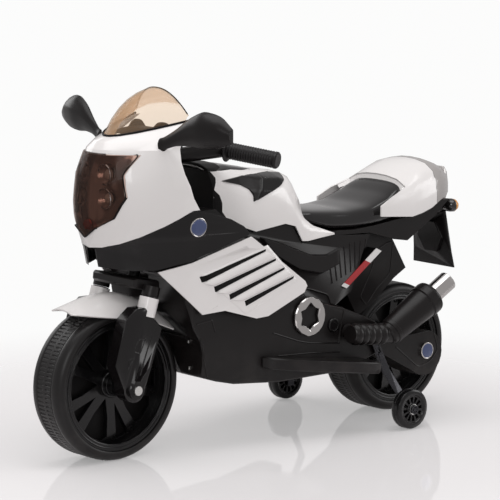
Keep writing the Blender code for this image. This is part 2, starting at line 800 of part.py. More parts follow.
def cowl_boss(y_side):
    """A boss inside the cowl whose end stands on the front of the body."""
    low, high = 0.352, 0.362
    near, far = sorted((0.045 * y_side, 0.055 * y_side))
    front = nose_x(low, 0.055) - 0.0012
    rear = [(lerp([(0.330, 0.285), (0.405, 0.240)], z) + GAP * 1.3, z) for z in (high, low)]
    return side_plate([[(front, low), (front, high)] + rear], near, far)


def mirror_peg(y_side, spare=0.0):
    foot = Vector((MIRROR_FOOT.x, MIRROR_FOOT.y * y_side, MIRROR_FOOT.z))
    lean = Vector((0, 0.55 * y_side, 0.83)).normalized()
    return rod(foot - lean * 0.012, foot + lean * 0.010, 0.0055 + spare, sides=12)


def trimmed(outline):
    """The headlight's outline made a little smaller, still closed on the middle line."""
    whole = outline + [(-y, z) for y, z in reversed(outline) if y > 0]
    return inset(whole, TRIM)


def headlight():
    lens = baked(surface(lens_grid(-0.0012), PANEL_WALL))
    boolean(lens, cross_plate([trimmed(HEADLIGHT)], 0.24, 0.42), "INTERSECT")
    lens = smooth(baked(lens), 30)
    bowl = baked(surface(lens_grid(PANEL_WALL * 1.4 + GAP), PANEL_WALL))
    whole = HEADLIGHT + [(-y, z) for y, z in reversed(HEADLIGHT) if y > 0]
    boolean(bowl, cross_plate([inset(whole, 0.004)], 0.22, 0.42), "INTERSECT")
    bowl = smooth(baked(bowl), 30)
    return lens, bowl


def lens_grid(back):
    """The nose surface again, a little forward or back, over the headlight only."""
    grid = []
    for i in range(8):
        z = 0.345 + (CREASE_Z + 0.004 - 0.345) * i / 7
        grid.append([(nose_x(z, y, back), y, z) for y in [0.078 * (j - 4) / 4 for j in range(9)]])
    return grid


def windshield():
    rows = []
    for i in range(6):
        rise = i / 5
        row = []
        for j in range(-5, 6):
            share = j / 5 * 0.96
            base = shield_base(share) + Vector((-0.0012, 0, 0.0005 + GAP))
            fall = share * share
            rim = Vector((SHIELD_APEX.x + (SHIELD_REAR.x - SHIELD_APEX.x) * fall, SHIELD_REAR.y * share,
                          SHIELD_APEX.z + (SHIELD_REAR.z + 0.004 - SHIELD_APEX.z) * fall ** 1.15))
            bulge = 0.055 * rise * (1 - rise) * (1 - fall)
            point = base.lerp(rim, rise) + Vector((0.5, 0, 0.87)) * bulge
            row.append(tuple(point))
        rows.append(row)
    return surface(rows, SHIELD_WALL)


def mirror():
    """The left mirror: a peg in the cowl, a stalk and a head turned back and out."""
    foot = MIRROR_FOOT
    rings = []
    stations = [(foot + Vector((0.002, 0.002, 0.0040)), 0.0100, 0.0035),
                (foot + Vector((-0.003, 0.023, 0.0140)), 0.0125, 0.0065),
                (foot + Vector((-0.009, 0.050, 0.0250)), 0.0220, 0.0110),
                (foot + Vector((-0.014, 0.078, 0.0300)), 0.0300, 0.0150),
                (foot + Vector((-0.022, 0.108, 0.0290)), 0.0260, 0.0140),
                (foot + Vector((-0.028, 0.130, 0.0240)), 0.0120, 0.0070)]
    along = Vector((-0.20, 0.98, 0.0)).normalized()
    side = Vector((-along.y, along.x, 0))
    up = Vector((0, 0, 1))
    for centre, tall, deep in stations:
        ring = []
        for k in range(8):
            turn = math.tau * k / 8
            ring.append(tuple(centre + up * tall * math.sin(turn) + side * deep * math.cos(turn)))
        rings.append(ring)
    head = surface(rings, closed=True)
    head = baked(head)
    boolean(head, mirror_peg(1), "UNION")
    return smooth(baked(head), 35)


def nose():
    keep(cowl(), "nose_cowl", "white")
    lens, bowl = headlight()
    keep(lens, "headlight_lens", "smoke")
    keep(bowl, "headlight_reflector", "silver")
    keep(windshield(), "windshield", "amber_sheet")
    pair(mirror(), "mirror", "black")


# Body

TANK_LOW = [(-0.0240, 0.3460), (-0.0120, 0.3540), (0.0310, 0.3490), (0.0640, 0.3450), (0.1060, 0.3640),
            (0.1400, 0.3900)]
TANK_TOP = [(-0.0240, 0.4300), (0.0310, 0.4370), (0.0870, 0.4480), (0.1400, 0.4520)]
TANK_HALF = [(-0.0240, 0.0725), (0.0, 0.0745), (0.0870, 0.0720), (0.1400, 0.0620)]
TANK_REAR = [
    [(-0.024, 0.0725, 0.3460), (-0.021, 0.0728, 0.3600), (-0.019, 0.0725, 0.3740), (-0.017, 0.0710, 0.3880),
     (-0.016, 0.0680, 0.4000), (-0.019, 0.0560, 0.4180), (-0.025, 0.0310, 0.4275), (-0.028, 0.0, 0.4290)],
    [(-0.040, 0.0710, 0.3200), (-0.038, 0.0715, 0.3420), (-0.034, 0.0715, 0.3580), (-0.030, 0.0690, 0.3740),
     (-0.028, 0.0660, 0.3870), (-0.031, 0.0550, 0.4070), (-0.041, 0.0300, 0.4195), (-0.047, 0.0, 0.4220)],
    [(-0.052, 0.0718, 0.3190), (-0.056, 0.0718, 0.3330), (-0.050, 0.0700, 0.3480), (-0.041, 0.0665, 0.3610),
     (-0.037, 0.0630, 0.3740), (-0.041, 0.0520, 0.3940), (-0.052, 0.0290, 0.4060), (-0.0585, 0.0, 0.4090)],
    [(-0.080, 0.0732, 0.3222), (-0.082, 0.0730, 0.3290), (-0.060, 0.0690, 0.3430), (-0.048, 0.0645, 0.3545),
     (-0.044, 0.0610, 0.3665), (-0.047, 0.0525, 0.3830), (-0.059, 0.0285, 0.3900), (-0.0655, 0.0, 0.3925)],
    [(-0.107, 0.0738, 0.3245), (-0.1065, 0.0737, 0.3270), (-0.067, 0.0670, 0.3396), (-0.0554, 0.0620, 0.3486),
     (-0.050, 0.0580, 0.3585), (-0.051, 0.0520, 0.3710), (-0.063, 0.0280, 0.3745), (-0.070, 0.0, 0.3755)]]
LOWER_BODY = aft([(0.208, 0.207), (0.190, 0.179), (0.190, 0.146), (0.193, 0.129), (0.163, 0.118),
                  (0.126, 0.109), (0.032, 0.100), (-0.090, 0.100), (-0.160, 0.114), (-0.215, 0.131),
                  (-0.176, 0.177), (-0.109, 0.205), (-0.033, 0.227), (-0.012, 0.250), (0.092, 0.340),
                  (0.110, 0.340), (0.235, 0.309), (0.235, 0.290), (0.2228, 0.2845), (0.2222, 0.2515)])
UPPER_BODY = aft([(0.2205, 0.2860), (0.240, 0.2935), (0.275, 0.305), (0.285, 0.330), (0.240, 0.405),
                  (0.165, 0.388), (0.140, 0.3885), (0.106, 0.3620), (0.064, 0.3435), (0.031, 0.3472),
                  (-0.012, 0.3520), (-0.0245, 0.3435), (-0.0405, 0.3170), (-0.052, 0.3165),
                  (-0.100, 0.3225), (-0.163, 0.3180), (-0.191, 0.3160), (-0.176, 0.2900),
                  (-0.150, 0.2250), (-0.100, 0.196), (0.0, 0.190), (0.200, 0.190), (0.2190, 0.2440)])


def hollow(outline, half, wall):
    """A left-hand half shell of a side outline, open on the middle plane."""
    outer = side_plate([outline], GAP / 2, half)
    core = side_plate([inset(outline, wall)], -0.01, half - wall)
    return outer, core


def ball(reach):
    """A faceted ball about the steering foot, with no ring of corners on the middle plane."""
    work = bmesh.new()
    bmesh.ops.create_uvsphere(work, u_segments=20, v_segments=11, radius=reach)
    work.transform(Matrix.Translation(STEER_FOOT) @ axis_matrix((0, 0, 0), (0, 1, 0)))
    return from_bmesh(work)


def wheel_sweep(spare=0.0):
    """The space the front wheel needs at any steering angle, plus the facets' flatness."""
    return ball(math.hypot(FRONT_RADIUS, TYRE_HALF * 0.8) + STEER_OFFSET + PLAY + spare)


def fender_sweep(spare=0.0):
    """The space the fender needs above the wheel at any steering angle."""
    above = ball(FENDER_REACH + spare)
    boolean(above, box((0.10, -0.2, 0.189 - spare), (0.50, 0.2, 0.50)), "INTERSECT")
    return baked(above)


def nose_room(spare=0.0):
    """What lies outside the nose's side panels, seen from above, on the left."""
    edge = [(x, nose_half(0.295, x) - PANEL_WALL - PLAY - spare)
            for x in (0.315, 0.30, 0.28, 0.26, 0.24, 0.22, 0.205)]
    obj = flat([edge + [(0.205, 0.14), (0.315, 0.14)]], 0.26, 0.31)
    return obj


def rear_wheel_space(spare=0.0):
    half = ARM_INNER - 0.001 + spare
    return rod((REAR_AXLE_X, -half, REAR_RADIUS), (REAR_AXLE_X, half, REAR_RADIUS),
               REAR_RADIUS + 0.007 + spare, sides=32)


def body_shell():
    """The left half of the black body, which holds the battery and the steering head."""
    block, core = hollow(LOWER_BODY, BODY_HALF, WALL)
    bevel(block, WALL, 1, 60)
    block = baked(block)
    upper, upper_core = hollow(UPPER_BODY, WAIST_HALF, WALL)
    made = []
    for solid, addition, spare in ((block, upper, 0.0), (core, upper_core, WALL)):
        solid = baked(boolean(solid, addition, "UNION"))
        for room in (wheel_sweep, fender_sweep, rear_wheel_space, nose_room):
            solid = baked(boolean(solid, room(spare)))
        made.append(solid)
    block, core = made
    column_hole = rod(steer_point(0.12, 0), steer_point(0.40, 0), COLUMN_RADIUS + GAP, sides=16)
    arm_hole = side_plate([inset(arm_outline(), -GAP)], ARM_INNER, BODY_HALF + 0.01)
    for cut in (core, column_hole, arm_hole, switch_hole()):
        block = baked(boolean(block, cut))
    return smooth(block, 30)


def body():
    """The two body halves; the right one also takes the charging socket."""
    left = body_shell()
    right = mirrored(left)
    reach = Vector((0, 0.02, 0))
    boolean(right, rod(CHARGE_CENTRE - reach, CHARGE_CENTRE + reach, CHARGE_RADIUS + GAP, sides=16))
    keep(left, "body_shell_left", "black")
    keep(smooth(baked(right), 30), "body_shell_right", "black")


def tank():
    """The white tank cover, open below and in front, whose rear ends round the seat's nose."""
    rows = []
    for x in (0.140, 0.108, 0.087, 0.060, 0.031, 0.000):
        top = lerp(TANK_TOP, x)
        low = lerp(TANK_LOW, x)
        half = lerp(TANK_HALF, x)
        rows.append([(x, half * across, low + (top - low) * up) for across, up in
                     ((1.0, 0.0), (1.0, 0.18), (1.0, 0.35), (0.985, 0.52), (0.95, 0.66), (0.78, 0.88),
                      (0.42, 0.985), (0.0, 1.0))])
    rows += [aft(row) for row in TANK_REAR]
    grid = [row + [(px, -py, pz) for px, py, pz in reversed(row[:-1])] for row in rows]
    return surface(grid, PANEL_WALL)


def wrap(obj, depth):
    """Lays a plate that was drawn flat onto the side of the nose; depth is how far in it lies."""
    work = bmesh.new()
    work.from_mesh(obj.data)
    for x in (0.215, 0.235, 0.255, 0.275, 0.295, 0.315, 0.330):
        bmesh.ops.bisect_plane(work, geom=work.verts[:] + work.edges[:] + work.faces[:], dist=1e-6,
                               plane_co=(x, 0, 0), plane_no=(1, 0, 0))
    for vert in work.verts:
        z = min(vert.co.z, CREASE_Z)
        limit = lerp(NOSE_LINE, z)
        far = nose_half(z, min(vert.co.x, limit))
        vert.co.y = far - depth - (SIDE_HALF - vert.co.y)
        if vert.co.y < 0.012:
            vert.co.y = 0.012 if vert.co.y > 0.012 - PANEL_WALL else 0.012 - PANEL_WALL
    bmesh.ops.recalc_face_normals(work, faces=work.faces)
    work.to_mesh(obj.data)
    work.free()
    return obj


FAIRING_BACK = [(0.104, 0.3495), (0.106, 0.3545), (0.116, 0.3640), (0.143, 0.3780), (0.180, 0.3900),
                (0.2050, 0.3965), (0.2170, 0.3965)]
VENT_PANEL = aft([(0.262, 0.3010), (0.100, 0.3455), (0.092, 0.3400), (-0.013, 0.2620), (-0.017, 0.2540),
              (-0.011, 0.2440), (0.065, 0.2140), (0.090, 0.2130), (0.155, 0.2330), (0.198, 0.2310)])
VENT_SLOTS = [((0.190, 0.2850), (0.071, 0.3220)), ((0.170, 0.2660), (0.050, 0.3040)),
              ((0.141, 0.2480), (0.031, 0.2880)), ((0.108, 0.2290), (0.014, 0.2710))]
PANEL_BOSSES = aft([(0.004, 0.2500), (0.045, 0.2310), (0.165, 0.2450), (0.105, 0.3310)])
FAIRING_BOSSES = [(0.200, 0.3600, SIDE_HALF - 0.0013), (0.250, 0.3450, 0.0880)]
SLOT_WIDE = 0.0085
SLOT_NARROW = 0.0035


def vent_slot(front, rear):
    """A slot that is wide and pointed in front and narrows to the rear."""
    a = Vector(front)
    b = Vector(rear)
    run = (b - a).normalized()
    over = Vector((run.y, -run.x))
    if over.y < 0:
        over = -over
    return [tuple(a - run * 0.004), tuple(a + over * SLOT_WIDE / 2 + run * 0.004),
            tuple(b + over * SLOT_NARROW / 2), tuple(b - over * SLOT_NARROW / 2),
            tuple(a - over * SLOT_WIDE / 2 + run * 0.004)]


def panels():
    """The black fairing and the white slotted panel that clip to the side of the body."""
    ys = [0.104, 0.094, 0.082, 0.068, 0.052, 0.034, 0.014]
    top = []
    for y in ys:
        z = cowl_low(y) - GAP * 2
        top.append((lerp(NOSE_LINE, z) - NOSE_BOW * y * y, z))
    outline = FAIRING_BACK + top + [(0.329, 0.3090), (0.295, 0.3040), (0.2640, 0.3045)]
    fairing = side_plate([outline], SIDE_HALF - PANEL_WALL, SIDE_HALF)
    fairing = wrap(fairing, 0.0)
    for x, z, end in FAIRING_BOSSES:
        boolean(fairing, rod((x, WAIST_HALF + GAP, z), (x, end, z), 0.0045, sides=8), "UNION")
    pair(smooth(baked(fairing), 30), "side_fairing", "gloss")
    slots = [vent_slot(front, rear) for front, rear in VENT_SLOTS]
    panel = side_plate([VENT_PANEL] + slots, SIDE_HALF - PANEL_WALL, SIDE_HALF)
    panel = wrap(panel, 0.0)
    for x, z in PANEL_BOSSES:
        boolean(panel, rod((x, BODY_HALF + GAP, z), (x, SIDE_HALF - 0.0013, z), 0.0045, sides=8), "UNION")
    pair(smooth(baked(panel), 30), "vent_panel", "white")
    lobes = []
    for i in range(RING_LOBES * 2):
        turn = math.tau * i / (RING_LOBES * 2)
        lobe = 0.0222 if i % 2 else 0.0165
        lobes.append((RING_X + lobe * math.cos(turn), RING_Z + lobe * math.sin(turn)))
    ring = side_plate([circle(RING_X, RING_Z, RING_RADIUS, 20), lobes], BODY_HALF + GAP, BODY_HALF + 0.007)
    bevel(ring, 0.002, 1, 60)
    pair(smooth(baked(ring), 30), "ring_trim", "chrome")


# Seat and tail

SEAT_STATIONS = aft([(-0.0722, 0.0490, 0.3650, 0.3480, 0.0180), (-0.0870, 0.0565, 0.3645, 0.3420, 0.0120),
                     (-0.1150, 0.0620, 0.3625, 0.3293, 0.0040), (-0.1550, 0.0650, 0.3595, 0.3273, 0.0),
                     (-0.2000, 0.0700, 0.3605, 0.3298, 0.0), (-0.2400, 0.0670, 0.3730, 0.3343, 0.0),
                     (-0.2660, 0.0560, 0.3880, 0.3370, 0.0)])
TAIL_TOP = aft([(-0.392, 0.404), (-0.370, 0.4170), (-0.345, 0.4245), (-0.315, 0.4210), (-0.290, 0.4110),
                (-0.270, 0.4020)])
TAIL_HALF = aft([(-0.392, 0.042), (-0.370, 0.060), (-0.345, 0.074), (-0.315, 0.0790), (-0.270, 0.0800),
                 (-0.206, 0.0785)])
TAIL_LOW = aft([(-0.392, 0.366), (-0.345, 0.3600), (-0.315, 0.3460), (-0.278, 0.3385), (-0.206, 0.3450)])
TUB = aft([(-0.100, 0.3255), (-0.112, 0.3215), (-0.189, 0.3190), (-0.246, 0.3020), (-0.276, 0.2970),
           (-0.340, 0.3340), (-0.372, 0.3590), (-0.345, 0.3590), (-0.315, 0.3450), (-0.278, 0.3370),
           (-0.245, 0.3345), (-0.200, 0.3295), (-0.155, 0.3270), (-0.115, 0.3290)])
POST = aft([(-0.150, 0.2300), (-0.178, 0.2890), (-0.1935, 0.3172), (-0.205, 0.3250), (-0.2450, 0.3200),
            (-0.262, 0.2960), (-0.2910, 0.2470), (-0.2640, 0.2320), (-0.2150, 0.1950),
            (-0.1890, 0.1800), (-0.1780, 0.1800)])


def seat():
    rings = []
    for x, half, top, low, bow in SEAT_STATIONS:
        deep = top - low
        ring = [(0.0, top - 0.10 * deep), (0.55, top - 0.04 * deep), (0.88, top + 0.02 * deep),
                (1.0, top - 0.30 * deep), (0.99, low + 0.18 * deep), (0.90, low), (0.45, low), (0.0, low)]
        left = [(x + bow * across ** 2, half * across, z) for across, z in ring]
        rings.append(left + [(px, -py, pz) for px, py, pz in reversed(left[1:-1])])
    cage = surface(rings, closed=True)
    return smooth(cage, 40)


def tail_cover():
    """The white tail: a shell whose front edge runs forward along both sides of the seat."""
    grid = []
    for step in range(9):
        share = step / 8
        row = []
        for across, up in ((1.0, 0.0), (1.0, 0.30), (0.97, 0.55), (0.86, 0.76), (0.62, 0.92),
                           (0.30, 0.985), (0.0, 1.0)):
            front = TAIL_HALF[-2][0] + 0.064 * max(0.0, (across - 0.93) / 0.07)
            x = front + (TAIL_HALF[0][0] - front) * share
            low = lerp(TAIL_LOW, x)
            top = lerp(TAIL_TOP, x)
            if up < 0.6:
                top = min(top, low + 0.060 + 0.1 * max(0.0, TAIL_HALF[-2][0] - x))
            row.append((x, lerp(TAIL_HALF, x) * across, low + (top - low) * up))
        grid.append(row + [(px, -py, pz) for px, py, pz in reversed(row[:-1])])
    shell = baked(surface(grid, PANEL_WALL))
    tub_top = sorted(TUB[6:])
    for x in (STRETCH - 0.300, STRETCH - 0.335):
        foot = lerp(tub_top, x - 0.005) + GAP
        head = lerp(TAIL_LOW, x) + (lerp(TAIL_TOP, x) - lerp(TAIL_LOW, x)) * 0.975 - 0.0010
        for y in (-0.028, 0.028):
            boolean(shell, rod((x, y, foot), (x, y, head), 0.0050, sides=8), "UNION")
    return smooth(baked(shell), 30)


def tail_support():
    """The black tub under the seat and tail with its hollow post down to the body."""
    tub = side_plate([TUB], -WAIST_HALF, WAIST_HALF)
    post = side_plate([POST], -POST_HALF, POST_HALF)
    boolean(tub, post, "UNION")
    tub = baked(tub)
    inner = [(-0.2000, 0.3225), (-0.2460, 0.3052), (-0.2760, 0.3002), (-0.3380, 0.3370), (-0.3430, 0.3520),
             (-0.3150, 0.3420), (-0.2780, 0.3340), (-0.2450, 0.3315), (-0.2150, 0.3280)]
    core = side_plate([aft(inner)], -WAIST_HALF + WALL, WAIST_HALF - WALL)
    well = [(-0.1565, 0.2330), (-0.1810, 0.2870), (-0.1990, 0.3220), (-0.2420, 0.3290), (-0.2590, 0.2945),
            (-0.2860, 0.2475), (-0.2620, 0.2350), (-0.2140, 0.1990), (-0.1930, 0.1700), (-0.1815, 0.1700)]
    shaft = side_plate([aft(well)], -POST_HALF + WALL, POST_HALF - WALL)
    boolean(core, shaft, "UNION")
    boolean(tub, baked(core))
    boolean(tub, body_clearance())
    return smooth(baked(tub), 30)


def body_clearance():
    """The body shell's outline, grown by the touching gap, so that the post stands against it."""
    grown = side_plate([inset(UPPER_BODY, -GAP)], -WAIST_HALF - 0.01, WAIST_HALF + 0.01)
    lower = side_plate([inset(LOWER_BODY, -GAP)], -BODY_HALF - 0.01, BODY_HALF + 0.01)
    boolean(grown, lower, "UNION")
    return baked(grown)


TAIL_LIGHT_HALF = 0.030
LIGHT_OUTLINE = aft([(-0.3940, 0.408), (-0.3990, 0.4085), (-0.4055, 0.3980), (-0.4085, 0.3800),
                     (-0.4070, 0.3620), (-0.4020, 0.3510), (-0.3940, 0.3500)])
GUARD_FACE = [(0.040, 0.3345), (0.046, 0.262), (0.050, 0.235), (-0.050, 0.235), (-0.046, 0.262),
              (-0.040, 0.3345)]
GUARD_X = STRETCH - 0.390
GUARD_LEAN = 0.13            # how far the mudguard leans back for each unit it drops


def tail_light():
    lens = side_plate([LIGHT_OUTLINE], -TAIL_LIGHT_HALF, TAIL_LIGHT_HALF)
    bevel(lens, 0.0045, 2, 60)
    return smooth(baked(lens), 35)


def mudguard():
    """The hanging plate behind the wheel with its raised hexagon and the arm to the tail."""
    plate = cross_plate([GUARD_FACE], GUARD_X - PANEL_WALL, GUARD_X)
    hexagon = [(y * 1.0, z) for y, z in circle(0.0, 0.285, 0.030, 6)]
    boss = cross_plate([hexagon], GUARD_X - PANEL_WALL / 2, GUARD_X + 0.004)
    boolean(plate, boss, "UNION")
    plate = baked(plate)
    for vert in plate.data.vertices:
        vert.co.x -= (0.3345 - vert.co.z) * GUARD_LEAN
    bar = [(-0.3935, 0.3300), (-0.3300, 0.3325), (-0.3420, 0.3350), (-0.3735, 0.3590 + GAP),
           (-0.3925, 0.3590)]
    arm = side_plate([aft(bar)], -0.034, 0.034)
    trimmed_arm = side_plate([inset(TUB, -GAP)], -WAIST_HALF - 0.01, WAIST_HALF + 0.01)
    boolean(arm, trimmed_arm)
    boolean(plate, baked(arm), "UNION")
    return smooth(baked(plate), 30)


SIGNAL_FOOT = Vector((STRETCH - 0.383, 0.034 + GAP, 0.3450))


def turn_signal():
    aim = Vector((-0.25, 1.0, 0.0)).normalized()
    body = spindle([(0, 0.034), (0.006, 0.033), (0.0105, 0.028), (0.0115, 0.021), (0.0110, 0.012),
                    (0.0060, 0.006), (0.0060, 0.0), (0, 0.0)], SIGNAL_FOOT + aim * 0.002, aim, 14)
    return body


def seat_and_tail():
    keep(seat(), "seat", "gloss")
    keep(tail_cover(), "tail_cover", "white")
    keep(tail_support(), "tail_support", "black")
    keep(tail_light(), "tail_light", "silver")
    keep(mudguard(), "mudguard", "black")
    pair(turn_signal(), "turn_signal", "amber")


# Rear drive: two arms hold the axle; the right one is the gearbox with the motor's gears

ARM_OUTLINE_FRONT = aft([(-0.1560, 0.1720), (-0.2160, 0.1420), (-0.2820, 0.1468)])
ARM_OUTLINE_LOW = aft([(-0.2520, 0.0853), (-0.2100, 0.1080), (-0.1710, 0.1300)])
ARM_JOIN = 0.074             # where the arm's cover starts, seen along the axle


def arm_outline():
    """The arm in side view: round about the rear axle, tapering up and forward."""
    round_end = [(REAR_AXLE_X + ARM_END_RADIUS * math.cos(math.radians(a)),
                  REAR_RADIUS + ARM_END_RADIUS * math.sin(math.radians(a))) for a in range(105, 301, 15)]
    return ARM_OUTLINE_FRONT[:2] + round_end + ARM_OUTLINE_LOW


def arm_half(y_low, y_high, open_side):
    """One half of an arm: a tray open towards the other half."""
    outline = arm_outline()
    tray = side_plate([outline], y_low, y_high)
    if open_side > 0:
        core = side_plate([inset(outline, WALL)], y_low + WALL, y_high + 0.01)
    else:
        core = side_plate([inset(outline, WALL)], y_low - 0.01, y_high - WALL)
    boolean(tray, core)
    return baked(tray)


def bored(obj, centre, radius, y_low=0.0, y_high=0.2, sides=16):
    boolean(obj, rod((centre.x, y_low, centre.z), (centre.x, y_high, centre.z), radius, sides=sides))
    return obj


GEAR_REACH = GEAR_MODULE * (WHEEL_GEAR_TEETH + COMPOUND_SMALL_TEETH) / 2
MOTOR_REACH = GEAR_MODULE * (COMPOUND_BIG_TEETH + PINION_TEETH) / 2
GEAR_AIM = math.radians(33)
COMPOUND_CENTRE = Vector((REAR_AXLE_X + GEAR_REACH * math.cos(GEAR_AIM), 0,
                          REAR_RADIUS + GEAR_REACH * math.sin(GEAR_AIM)))
MOTOR_AIM = math.radians(0)
MOTOR_CENTRE = Vector((COMPOUND_CENTRE.x + MOTOR_REACH * math.cos(MOTOR_AIM), 0,
                       COMPOUND_CENTRE.z + MOTOR_REACH * math.sin(MOTOR_AIM)))


LEAD_RADIUS = 0.0016
LEAD_PATH = aft([(-0.2280, 0.085, 0.1270), (-0.1500, 0.080, 0.1480), (-0.1100, 0.060, 0.1350),
                 (-0.0600, 0.036, 0.1280), (-0.0100, 0.034, 0.1250), (0.0012, 0.0300, 0.1250),
                 (0.0012, 0.0264, 0.1250)])


def motor_lead():
    """The lead from the motor out of the gearbox's front end to the circuit board."""
    rings = []
    path = [Vector((x, -y, z)) for x, y, z in LEAD_PATH]
    for i, point in enumerate(path):
        along = (path[min(i + 1, len(path) - 1)] - path[max(i - 1, 0)]).normalized()
        frame = axis_matrix(point, along)
        rings.append([tuple(frame @ Vector((LEAD_RADIUS * math.cos(math.tau * k / 6),
                                            LEAD_RADIUS * math.sin(math.tau * k / 6), 0))) for k in range(6)])
    return baked(surface(rings, closed=True))


def arms():
    """The plain arm on the left and the gearbox on the right."""
    left = arm_half(ARM_INNER + GAP, ARM_OUTER, -1)
    bored(left, REAR_CENTRE, AXLE_RADIUS + GAP)
    tube = turned(ring_profile(AXLE_RADIUS + 0.004, AXLE_RADIUS + GAP, HUB_END + RUN * 2, ARM_OUTER - 0.001),
                  (REAR_CENTRE.x, 0, REAR_CENTRE.z), (0, 1, 0), 16)
    boolean(left, tube, "UNION")
    keep(smooth(baked(left), 30), "swing_arm_cover", "black")
    housing = arm_half(ARM_INNER + GAP, ARM_JOIN, 1)
    bored(housing, REAR_CENTRE, AXLE_RADIUS + 0.0062)
    bored(housing, COMPOUND_CENTRE, SHAFT_RADIUS + RUN)
    bored(housing, MOTOR_CENTRE, SHAFT_RADIUS + 0.004)
    cover = arm_half(ARM_JOIN + GAP, ARM_OUTER, -1)
    boss = rod((COMPOUND_CENTRE.x, BOSS_START, COMPOUND_CENTRE.z),
               (COMPOUND_CENTRE.x, ARM_OUTER - 0.001, COMPOUND_CENTRE.z), 0.004, sides=12)
    boolean(cover, boss, "UNION")
    bored(cover, COMPOUND_CENTRE, SHAFT_RADIUS + RUN, BOSS_START - 0.01, BOSS_START + SHAFT_SEAT, 12)
    bored(cover, REAR_CENTRE, AXLE_RADIUS + GAP)
    way = rod(Vector(LEAD_PATH[0]), Vector(LEAD_PATH[1]), LEAD_RADIUS + GAP * 2, sides=8)
    boolean(cover, way)
    for piece, name in ((housing, "gearbox_housing"), (cover, "gearbox_cover")):
        left_copy = smooth(baked(piece), 30)
        keep(mirrored(left_copy), name, "black")
        bpy.data.objects.remove(left_copy, do_unlink=True)


WHEEL_GEAR_Y = 0.0515        # inner face of the wheel's gear
COMPOUND_GEAR_Y = 0.0590     # inner face of the compound's large gear
BOSS_START = 0.0685
SHAFT_SEAT = 0.0070
MOTOR_Y = 0.0695


def gear_outline(centre, teeth, phase):
    """Straight-sided teeth: narrow tips, a flat root and the backlash taken off the width."""
    pitch = GEAR_MODULE * teeth / 2
    tip = pitch + 0.80 * GEAR_MODULE
    root = pitch - 1.10 * GEAR_MODULE
    half = (math.pi * GEAR_MODULE / 2 - GEAR_BACKLASH) / 2
    points = []
    for i in range(teeth):
        middle = phase + math.tau * i / teeth
        for radius, width in ((root, half * 1.42), (tip, half * 0.52)):
            points.append((radius, middle - width / radius))
        points.append((tip, middle + half * 0.52 / tip))
        points.append((root, middle + half * 1.42 / root))
    return [(centre.x + r * math.cos(a), centre.z + r * math.sin(a)) for r, a in points]


def shaft(centre, y_low, y_high, radius, sides=12):
    return rod((centre.x, -y_high, centre.z), (centre.x, -y_low, centre.z), radius, sides=sides)


def gear(centre, teeth, phase, inner_y):
    return side_plate([gear_outline(centre, teeth, phase)], -inner_y - GEAR_FACE, -inner_y)


def drive_train():
    """The motor's pinion, the compound gear and the gear keyed to the rear wheel."""
    output = gear(REAR_CENTRE, WHEEL_GEAR_TEETH, GEAR_AIM, WHEEL_GEAR_Y)
    sleeve = shaft(REAR_CENTRE, HUB_END + GAP, WHEEL_GEAR_Y + 0.002, AXLE_RADIUS + 0.0057, 20)
    boolean(output, sleeve, "UNION")
    boolean(output, shaft(REAR_CENTRE, 0.0, 0.1, AXLE_RADIUS + RUN, 24))
    small_aim = GEAR_AIM + math.pi + math.pi / COMPOUND_SMALL_TEETH
    compound = gear(COMPOUND_CENTRE, COMPOUND_SMALL_TEETH, small_aim, WHEEL_GEAR_Y + 0.0003)
    big = gear(COMPOUND_CENTRE, COMPOUND_BIG_TEETH, MOTOR_AIM, COMPOUND_GEAR_Y)
    hub = shaft(COMPOUND_CENTRE, WHEEL_GEAR_Y + 0.003, COMPOUND_GEAR_Y + 0.003, 0.0045, 12)
    pin = shaft(COMPOUND_CENTRE, ARM_INNER + GAP + 0.0005, BOSS_START + SHAFT_SEAT - 0.0004, SHAFT_RADIUS, 12)
    for extra in (hub, big, pin):
        boolean(compound, extra, "UNION")
    pinion = gear(MOTOR_CENTRE, PINION_TEETH, MOTOR_AIM + math.pi + math.pi / PINION_TEETH, COMPOUND_GEAR_Y)
    boolean(pinion, shaft(MOTOR_CENTRE, COMPOUND_GEAR_Y + 0.003, MOTOR_Y + 0.020, SHAFT_RADIUS, 12), "UNION")
    made = (keep(smooth(baked(output), 20), "output_gear", "nylon"),
            keep(smooth(baked(compound), 20), "compound_gear", "nylon"),
            keep(smooth(baked(pinion), 20), "motor_pinion", "zinc"))
    can = shaft(MOTOR_CENTRE, MOTOR_Y, MOTOR_Y + MOTOR_LENGTH, MOTOR_RADIUS, 24)
    boolean(can, shaft(MOTOR_CENTRE, MOTOR_Y - 0.01, MOTOR_Y + 0.0205, SHAFT_RADIUS + RUN, 12))
    keep(smooth(baked(can), 30), "motor", "steel")
    rear = axle(REAR_CENTRE, ARM_OUTER + GAP)
    keep(rear, "rear_axle", "zinc")
    return made


# Training wheels

def training_wheel():
    """A small solid wheel with a dished face, on its own bore."""
    bore = TRAINER_BORE + RUN
    face = TRAINER_HALF
    profile = [(TRAINER_RADIUS, face - 0.004), (TRAINER_RADIUS, -face + 0.004),
               (TRAINER_RADIUS - 0.004, -face), (TRAINER_RADIUS - 0.010, -face + 0.002),
               (0.010, -face + 0.002), (0.008, -face), (bore, -face), (bore, face), (0.008, face),
               (0.010, face - 0.002), (TRAINER_RADIUS - 0.010, face - 0.002),
               (TRAINER_RADIUS - 0.004, face)]
    return turned(profile, TRAINER_CENTRE, (0, 1, 0), 20)


TRAINER_CENTRE = Vector((TRAINER_X, TRAINER_Y, TRAINER_RADIUS + TRAINER_LIFT))
STRAP_Y = ARM_OUTER + GAP + STRAP_THICK / 2


